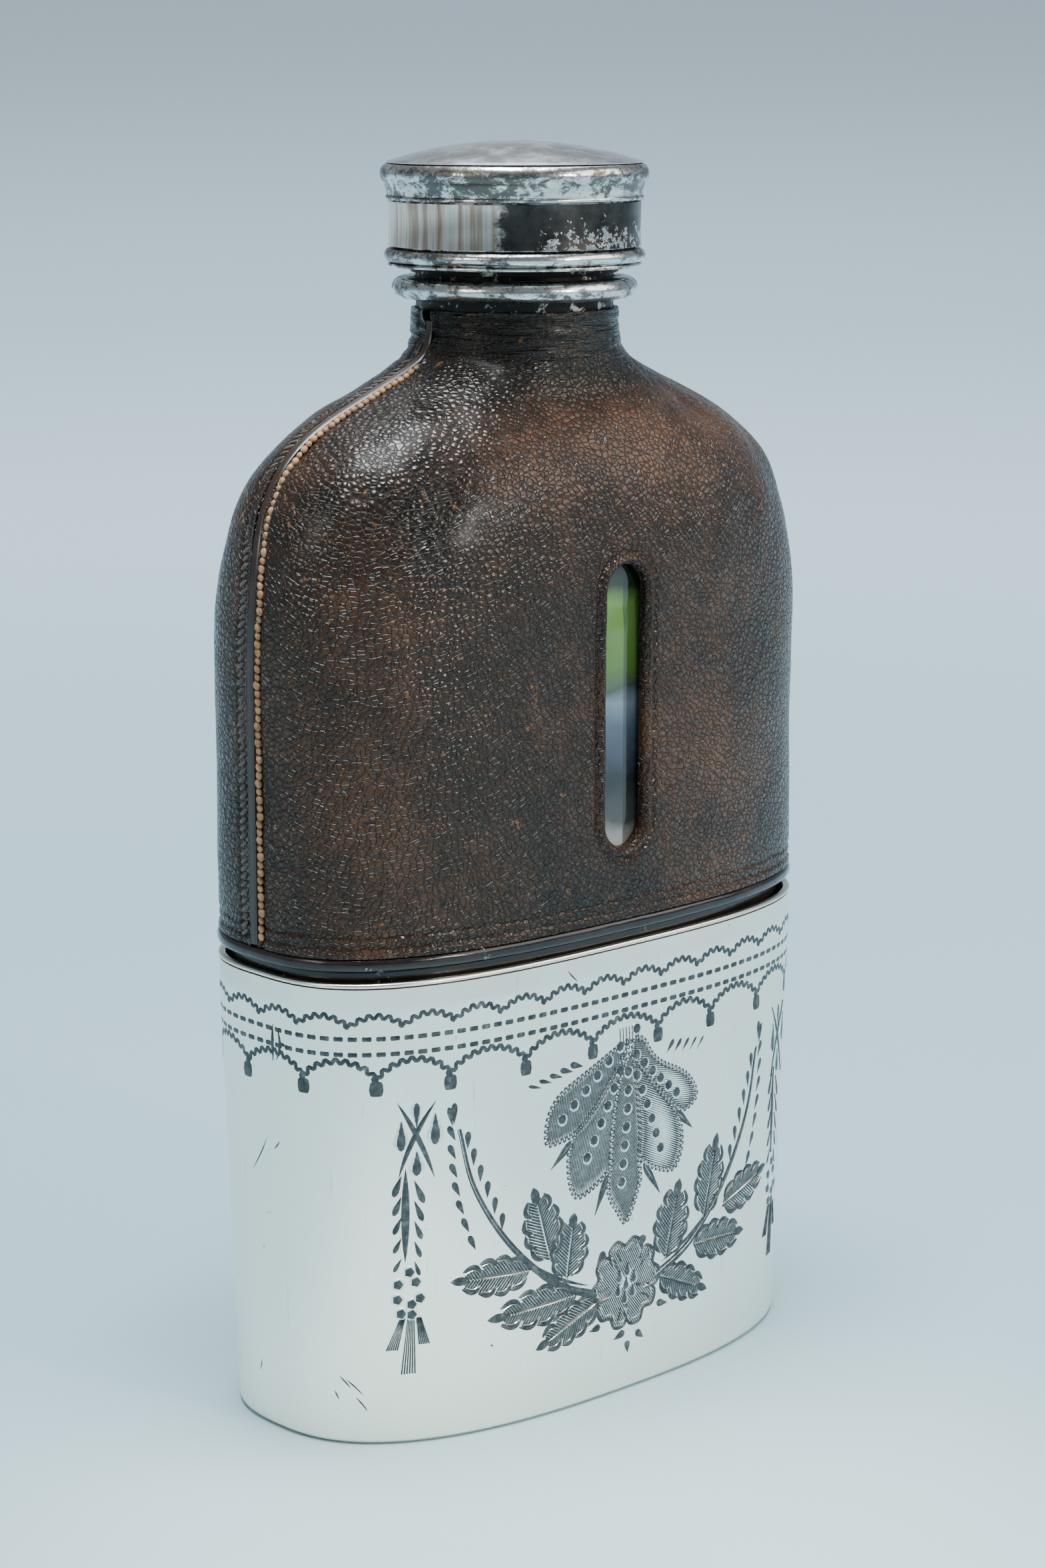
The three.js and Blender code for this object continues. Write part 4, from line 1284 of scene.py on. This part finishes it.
def window_cutter(sign):
    """A round-ended bar through one side of the cover, to cut its sight slot."""
    outline = []
    for i in range(48):
        angle = 2 * math.pi * i / 48
        lift = WINDOW_STRAIGHT if math.sin(angle) >= 0 else -WINDOW_STRAIGHT
        outline.append((WINDOW_HALF_WIDTH * math.cos(angle),
                        WINDOW_MIDDLE + lift + WINDOW_HALF_WIDTH * math.sin(angle)))
    rings = [[(x, sign * depth, z) for x, z in outline] for depth in (15.0, 30.0)]
    if sign > 0:
        rings = rings[::-1]
    return loft("cutter", rings, False)


# ------------------------------------------------------------------ seam, welt and stitches

def seam_line(side, depth, lift, lengths):
    """Points along a narrow end at a given y, lifted off the cover, with the direction
    along the seam and outwards."""
    a, b, n, z = profile_at(lengths)
    depth = depth + seam_centre(z)
    x = side * a * (1 - np.abs(depth / b) ** n) ** (1 / n)
    line = np.column_stack([x, depth, z])
    ahead = np.gradient(line, axis=0)
    ahead[:, 1] = 0
    ahead /= np.linalg.norm(ahead, axis=1)[:, None]
    outward = np.column_stack([ahead[:, 2] * side, np.zeros(len(z)), -ahead[:, 0] * side])
    return line + outward * lift, ahead, outward


def build_welt(side):
    """The smooth strip between the two halves, with turned edges."""
    lengths = graded((0.3, length_at_height(153.2), 0.45))
    across = [(-0.62, -0.6), (-0.62, 0.06), (-0.45, 0.20), (0.0, 0.24), (0.35, 0.26),
              (0.55, 0.30), (0.62, 0.14), (0.62, -0.6)]
    rings = np.array([seam_line(side, depth, lift, lengths)[0] for depth, lift in across])
    rings = rings.transpose(1, 0, 2)
    if side > 0:
        rings = rings[:, ::-1]
    hand = "left" if side < 0 else "right"
    obj = loft(f"welt_{hand}_strip", rings[:, ::-1], False)
    sharpen(obj, 50)
    fit_out(obj, "flask", "brown_leather", STRIP, f"seam_welt_{hand}")


def bead_shape(detail=8):
    """A unit ball as rings, for stitches."""
    rings = []
    for i in range(1, detail):
        angle = math.pi * i / detail
        for j in range(detail + 2):
            turn = 2 * math.pi * j / (detail + 2)
            rings.append((math.sin(angle) * math.cos(turn), math.sin(angle) * math.sin(turn),
                          -math.cos(angle)))
    points = np.array(rings + [(0, 0, -1), (0, 0, 1)])
    columns = detail + 2
    faces = grid_faces(detail - 1, columns, True)
    faces += end_fans(detail - 1, columns, len(points) - 2, len(points) - 1)
    return points, faces


def build_stitches(side, front):
    pitch = 1.12
    last = length_at_height(147.6 if front else 149.0)
    count = int((last - 1.6) / pitch)
    lengths = 1.6 + pitch * np.arange(count)
    ball, ball_faces = bead_shape()
    sway = 0.10 * np.sin(lengths * 0.9) + 0.05 * np.sin(lengths * 2.3)
    if front:
        depth = -1.5 + sway
        size = np.array([0.42, 0.47, 0.60])
        slant = 26.0
    else:
        depth = 2.1 + sway
        size = np.array([0.22, 0.85, 0.30])
        slant = 32.0
    line, ahead, outward = seam_line(side, depth, 0.0, lengths)
    points, faces = [], []
    sideways = np.array([0.0, 1.0, 0.0])
    turn = math.radians(slant)
    for i, (place, forward, out) in enumerate(zip(line, ahead, outward)):
        swell = 1 + 0.10 * math.sin(i * 2.7) + 0.05 * math.sin(i * 5.1)
        along = forward * math.cos(turn) + sideways * math.sin(turn)
        across = -forward * math.sin(turn) + sideways * math.cos(turn)
        start = len(points)
        shape = ball * size * swell
        points.extend(place + shape[:, :1] * out + shape[:, 1:2] * across + shape[:, 2:] * along)
        faces.extend(tuple(start + k for k in face) for face in ball_faces)
    hand = "left" if side < 0 else "right"
    row = "front" if front else "back"
    obj = make_mesh(f"stitches_{row}_{hand}", points, faces)
    material = TAN_THREAD if front else DARK_THREAD
    fit_out(obj, "flask", "tan_thread", material, f"stitch_row_{row}_{hand}")


# ------------------------------------------------------------------ hem and grip band

BAND_FACETS = 300


def body_ring(z, inset):
    return level_ring(BODY[0] - inset, BODY[1] - inset, BODY[2], z, BAND_FACETS)


def build_hem():
    low, high = HEM_LOW[2] - 0.1, HEM_HIGH[2] + 0.05
    middle, half = (low + high) / 2, (high - low) / 2
    rings = []
    for i in range(13):
        angle = math.radians(-90 + 180 * i / 12)
        swell = 0.60 * math.cos(angle) ** 0.8
        ring = body_ring(middle + half * math.sin(angle), 0.28 - swell)
        ripple = 0.07 * wobble(ring[:, 0] / 3.0, ring[:, 1] / 3.0, ring[:, 2] / 2.0, 5.0)
        centre_out = ring[:, :2] / np.linalg.norm(ring[:, :2], axis=1)[:, None]
        ring[:, :2] += centre_out * ripple[:, None]
        rings.append(ring)
    rings.append(body_ring(high, 1.6))
    rings.append(body_ring(low, 1.6))
    hem = loft("hem_rolled_bead", rings, True)
    sharpen(hem, 50)
    fit_out(hem, "flask", "black_leather", BLACK, "hem_binding")


def build_grip():
    low, high = GRIP_LOW[2], GRIP_HIGH[2]
    a, b = GRIP_HIGH[0], GRIP_HIGH[1]

    def ring(z, inset):
        return level_ring(a - inset, b - inset, BODY[2], z, BAND_FACETS)

    rings = [ring(low, 0.45), ring(low + 0.2, 0.26), ring(low + 8, 0.02)]
    rings += [ring(z, 0.0) for z in np.linspace(low + 8.2, high - 0.3, 6)]
    rings += [ring(high, 0.15), ring(high, 0.5), ring(low, 0.74)]
    grip = loft("grip_band_smooth", rings, True)
    sharpen(grip, 50)
    fit_out(grip, "flask", "black_leather", BLACK, "grip_band")


# ------------------------------------------------------------------ glass bottle

BOTTLE_FACETS = 256
GLASS_THICKNESS = 3.5


def bottle_ring(a, b, n, z):
    return level_ring(a, b, n, z, BOTTLE_FACETS)


def build_bottle():
    foot, top = BOTTLE_LOW[2], BOTTLE_HIGH[2]
    a, b = BOTTLE_HIGH[0], BOTTLE_HIGH[1]
    wall = GLASS_THICKNESS

    def lower(z, inset):
        return bottle_ring(a - 0.9 - inset, b - 0.1 - inset, 2.6, z)

    def upper(z, inset):
        ring = bottle_ring(a - inset, b - inset, 2.7, z)
        if inset <= 0.5:
            facet = 0.34 * np.clip(1 - np.abs(ring[:, 0] - 0.4) / 5.0, 0, 1)
            ring[:, 1] += np.sign(ring[:, 1]) * facet * smooth(74, 78, z) * smooth(127, 122, z)
        return ring

    def shoulder(length, inset):
        wide, deep, square, z = (float(v) for v in profile_at(length))
        before = profile_at(length - 0.5)
        after = profile_at(length + 0.5)
        run = np.array([after[0] - before[0], after[3] - before[3]])
        run /= np.hypot(*run)
        return bottle_ring(wide - inset * run[1], deep - inset * max(run[1], 0.35), square,
                           z + inset * run[0])

    start, end = length_at_height(114.0), length_at_height(142.8)
    spans = np.linspace(start, end, 26)
    heel = [(math.sin(v), 1 - math.cos(v)) for v in np.linspace(0.0, math.pi / 2, 7)]
    outer = [lower(foot + 3.2 * rise, 3.2 * (1 - run)) for run, rise in heel]
    outer += [upper(z, 0.3 * (1 - smooth(30, 66, z))) for z in np.linspace(10, 112, 52)]
    outer += [shoulder(length, 2.15) for length in spans]
    neck = [(12.4, 145.4), (11.1, 146.8), (10.4, 148.8), (10.4, top - 0.6), (10.0, top)]
    outer += [bottle_ring(r, r, 2.0, z) for r, z in neck]
    inner = [bottle_ring(r, r, 2.0, z) for r, z in ((8.0, top), (7.5, top - 0.6), (7.5, 145.2))]
    inner += [shoulder(length, 2.15 + wall) for length in
              np.linspace(length_at_height(137.5), start, 14)]
    inner += [upper(z, wall + 0.6) for z in np.linspace(110, 12, 14)]
    inner += [lower(9.0, wall + 1.4), lower(7.6, wall + 3.0), lower(7.0, wall + 6.0)]
    bottle = loft("bottle_clear", outer + inner, False)
    sharpen(bottle, 60)
    fit_out(bottle, "flask", "clear_glass", GLASS, "glass_bottle")


# ------------------------------------------------------------------ neck fittings and cap

THREAD_PITCH = 3.0
THREAD_TURNS = 1.75
THREAD_START = 161.6


def thread_ridge(name, core, reach, start):
    """A helical ridge whose ends run out to nothing."""
    per_turn = 96
    steps = int(THREAD_TURNS * per_turn)
    outwards = math.copysign(1, reach)
    rings = []
    for i in range(steps + 1):
        angle = 2 * math.pi * i / per_turn
        z = start + THREAD_PITCH * i / per_turn
        fade = min(1.0, (i + 1) / 14, (steps - i + 1) / 14)
        foot, tip = core - outwards * 0.25, core + reach * fade
        profile = [(foot, -0.70), (foot, 0.70), (tip - 0.15 * outwards, 0.36), (tip, 0.20),
                   (tip, -0.20), (tip - 0.15 * outwards, -0.36)]
        if outwards < 0:
            profile.reverse()
        rings.append([(r * math.cos(angle), r * math.sin(angle), z + rise)
                      for r, rise in profile])
    return loft(name, rings, False)


def dents(depth, seed):
    def wave(angles, z):
        return depth * wobble(2.2 * np.cos(angles), 2.2 * np.sin(angles),
                              np.full_like(angles, z / 2.5), seed)
    return wave


def build_neck():
    skirt, core = 13.9, 14.6
    bottom, top = COLLAR_LOW[2], COLLAR_HIGH[2]
    shelf = RING_HIGH[2] + 0.1
    barrel = turned("collar_barrel", [
        [12.5, bottom], [skirt - 0.2, bottom], [skirt, bottom + 0.3], [skirt, shelf],
        [core, shelf + 0.1], [core, top - 0.7], [core - 0.2, top - 0.2], [core - 0.7, top],
        [8.2, top], [7.9, top - 0.3], [7.9, top - 1.5], [12.5, top - 1.5]])
    ridge = thread_ridge("collar_ridge", core, 1.0, THREAD_START)
    collar = join("collar_threaded", [barrel, ridge])
    sharpen(collar, 35)
    fit_out(collar, "flask", "cap_silver", COLLAR_SILVER, "neck_collar")

    low, high = RING_LOW[2], RING_HIGH[2] - 0.45
    middle, half = (low + high) / 2, (high - low) / 2
    radius = RING_HIGH[0]
    bulge = arc_points((radius - 1.7, middle), (1.7, half), -90, 90, 20)
    ring = turned("neck_ring_round", [[14.1, low], *bulge, [14.1, high]], wave=dents(0.05, 4.0))
    fit_out(ring, "flask", "cap_silver", CAP_SILVER, "neck_ring")


def build_cap():
    low, high = BEAD_LOW[2], BEAD_HIGH[2]
    radius = BEAD_HIGH[0]
    roll = arc_points((radius - 1.05, (low + high) / 2 + 0.25), (1.05, 1.0), -80, 88, 18)
    fillet = arc_points((17.45, low + 0.32), (0.35, 0.3), -90, 40, 6)
    bead = turned("cap_bead_round", [[17.0, low], *fillet, *roll, [17.0, high]],
                  wave=dents(0.06, 7.0))
    fit_out(bead, "cap", "cap_silver", CAP_SILVER, "cap_bead")

    low, high = BAND_LOW[2], BAND_HIGH[2]
    radius = BAND_HIGH[0]
    side = [[radius - 0.10 * math.sin(math.pi * t), low + (high - low) * t]
            for t in np.linspace(0, 1, 14)]
    band = turned("cap_band_polished", [[17.0, low], *side, [17.0, high]], wave=dents(0.045, 11.0))
    fit_out(band, "cap", "cap_silver", BAND_SILVER, "cap_band")

    low, high = RIM_LOW[2], RIM_HIGH[2]
    radius = RIM_HIGH[0]
    lip = arc_points((17.75, low + 0.35), (0.35, 0.33), -90, 75, 8)
    hollow = [[17.86, low + 0.85], [17.95, low + 1.3], [18.15, low + 1.9]]
    roll = arc_points((radius - 1.35, high - 1.55), (1.35, 1.5), -50, 90, 22)
    rim = turned("cap_rim_rolled", [[17.0, low], *lip, *hollow, *roll, [17.0, high - 0.05]],
                 wave=dents(0.10, 15.0))
    fit_out(rim, "cap", "cap_silver", CAP_SILVER, "cap_rim_moulding")

    build_dome()
    tube = turned("liner_tube", [
        [15.9, LINER_LOW[2]], [16.6, LINER_LOW[2]], [16.8, LINER_LOW[2] + 0.2],
        [16.8, LINER_HIGH[2]], [12.0, LINER_HIGH[2]], [12.0, 172.4], [15.9, 172.4],
        [15.9, LINER_LOW[2] + 0.2]])
    ridge = thread_ridge("liner_ridge", 15.9, -1.0, THREAD_START + THREAD_PITCH / 2)
    liner = join("cap_liner_threaded", [tube, ridge])
    sharpen(liner, 35)
    fit_out(liner, "cap", "cap_silver", CAP_SILVER, "cap_thread_liner")

    low, high, radius = WASHER_LOW[2], WASHER_HIGH[2], WASHER_HIGH[0]
    worn = arc_points((11.2, low), (2.6, 0.25), 0, 180, 10)[::-1]
    washer = turned("cork_washer_worn", [
        [0, low], [8.0, low], *worn, [radius - 0.3, low], [radius, low + 0.3],
        [radius, high - 0.3], [radius - 0.3, high], [0, high]])
    fit_out(washer, "seal", "cork", CORK, "cork_washer")


def build_dome():
    low, high, radius = DOME_LOW[2] - 0.15, DOME_HIGH[2], DOME_HIGH[0] + 0.45
    rise = high - low - 0.15
    sphere = (radius ** 2 + rise ** 2) / (2 * rise)
    centre = high - sphere
    edge = math.asin(radius / sphere)
    outside, underside = [], []
    for i in range(41):
        angle = edge * (1 - i / 40)
        outside.append([sphere * math.sin(angle), centre + sphere * math.cos(angle)])
        inner = sphere - 0.8
        height = max(centre + inner * math.cos(angle), low)
        underside.insert(0, [inner * math.sin(angle), height])
    outside[-1][0] = 0
    underside[0][0] = 0
    step = [[radius - 0.2, low], [radius + 0.05, low], [radius + 0.08, low + 0.08]]
    dome = turned("cap_dome_smooth", underside[:-1] + step + outside[1:],
                  wave=dents(0.03, 19.0))
    fit_out(dome, "cap", "cap_silver", DOME_SILVER, "cap_dome")


def dress_hidden_parts():
    """Parts inside the flask keep their CAD shape and get their real material."""
    for node, material in (("neck_cement", PLASTER), ("cap_pressure_plate", CAP_SILVER)):
        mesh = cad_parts[node].data
        mesh.materials.clear()
        mesh.materials.append(material)


# ------------------------------------------------------------------ stage, lights and camera

def build_stage():
    """A round floor that sweeps up into a backdrop. Painted shade darkens the floor round the flask
    and the backdrop as it rises; a warmer painted pool of light lies before the cup's foot, which
    mirrors it."""
    points, faces = [], []
    segments, radius = 96, 2600.0
    profile = [(0, 0), (300, 0), (700, 0), (1200, 0), (1700, 30), (2100, 160), (2400, 420),
               (radius, 900)]
    for r, z in profile[1:]:
        for j in range(segments):
            angle = 2 * math.pi * j / segments
            points.append((r * math.cos(angle), r * math.sin(angle), z))
    points.append((0, 0, 0))
    for i in range(len(profile) - 2):
        for j in range(segments):
            k = (j + 1) % segments
            faces.append((i * segments + j, (i + 1) * segments + j,
                          (i + 1) * segments + k, i * segments + k))
    for j in range(segments):
        faces.append((len(points) - 1, j, (j + 1) % segments))
    floor = make_mesh("floor_sweep", points, faces)
    s = Shader("stage_pale")
    x, y = s.axis(0), s.axis(1)
    reach = s.maths("SQRT", s.maths("MULTIPLY_ADD", x, x, s.times(y, y)))
    ahead_x, ahead_y = s.maths("ADD", x, 0.05), s.maths("ADD", y, 0.07)
    painted_light_pool = s.maths("SQRT", s.maths("MULTIPLY_ADD", ahead_x, ahead_x, s.times(ahead_y, ahead_y)))
    # Painted shade: the floor is darker within 0.2 m of the middle, lightening out to 1.2 m; the
    # painted pool of light lies just before the cup.
    far = s.blend(s.span(reach, 0.20, 1.2), (0.275, 0.415, 0.475), (0.58, 0.77, 0.88))
    floor_color = s.blend(s.span(painted_light_pool, 0.12, 0.02), far, (0.48, 0.65, 0.67))
    # Painted shade: the backdrop darkens as it rises.
    rise = s.span(s.axis(2), 0.0, 0.25)
    s.set(Base_Color=s.blend(rise, floor_color, (0.37, 0.45, 0.52)), Roughness=0.9)
    floor.data.materials.append(s.material)


def area_light(name, place, target, size, power, color):
    data = bpy.data.lights.new(name, "AREA")
    data.shape = "RECTANGLE"
    data.size, data.size_y = size
    data.energy = power
    data.color = color
    obj = bpy.data.objects.new(name, data)
    bpy.context.scene.collection.objects.link(obj)
    obj.location = Vector(place)
    obj.rotation_euler = (Vector(target) - Vector(place)).to_track_quat("-Z", "Y").to_euler()


def build_lights():
    """Soft light from above, a card to the right, a wash on the backdrop, and two small
    lamps: one for the floor on the left, one for the sparkle of the leather."""
    world = bpy.data.worlds.new("soft_room")
    world.use_nodes = True
    background = world.node_tree.nodes["Background"]
    background.inputs["Color"].default_value = (0.80, 0.87, 0.92, 1.0)
    background.inputs["Strength"].default_value = 0.31
    bpy.context.scene.world = world
    middle = (0, 0, 0.09)
    area_light("overhead_soft", (-0.06, -0.04, 1.15), middle, (0.50, 0.45), 28,
               (0.90, 0.95, 1.0))
    area_light("right_card", (0.42, -0.50, 0.46), (0.10, -0.16, 0.02), (0.6, 0.5), 3.4,
               (1.0, 0.97, 0.91))
    area_light("back_wash", (0.75, 0.85, 1.9), (1.0, 1.1, 0.0), (1.3, 1.3), 30, (0.95, 0.98, 1.0))
    area_light("left_lamp", (-0.36, -0.02, 0.28), (-0.20, -0.02, 0.0), (0.14, 0.14), 0.4,
               (1.0, 0.95, 0.84))
    area_light("lamp_small", (0.18, -1.12, 0.49), middle, (0.12, 0.12), 6, (1.0, 0.98, 0.94))


CAMERA_DISTANCE = 0.47624
CAMERA_HEIGHT = 0.1869
CAMERA_BEARING = 42.386
CAMERA_PITCH = 11.968
CAMERA_PAN = 0.134
SENSOR_WIDTH = 36.0
FOCAL_LENGTH = 77.155


def build_camera():
    data = bpy.data.cameras.new("photo_view")
    data.sensor_width = SENSOR_WIDTH
    data.lens = FOCAL_LENGTH
    camera = bpy.data.objects.new("photo_view", data)
    bpy.context.scene.collection.objects.link(camera)
    bearing = math.radians(CAMERA_BEARING)
    camera.location = (-CAMERA_DISTANCE * math.sin(bearing),
                       -CAMERA_DISTANCE * math.cos(bearing), CAMERA_HEIGHT)
    camera.rotation_euler = (math.radians(90 - CAMERA_PITCH), 0,
                             -math.radians(CAMERA_BEARING + CAMERA_PAN))
    bpy.context.scene.camera = camera


# ------------------------------------------------------------------ the whole flask

build_camera()
build_lights()
build_stage()

build_cup()
engrave_borders()
engrave_motif()
engrave_spray()
engrave_tassels()
engrave_scratches()

build_bottle()
for is_front in (True, False):
    build_leather(is_front)
for hand in (-1, 1):
    build_welt(hand)
    for is_front in (True, False):
        build_stitches(hand, is_front)
build_hem()
build_grip()
build_neck()
build_cap()
dress_hidden_parts()
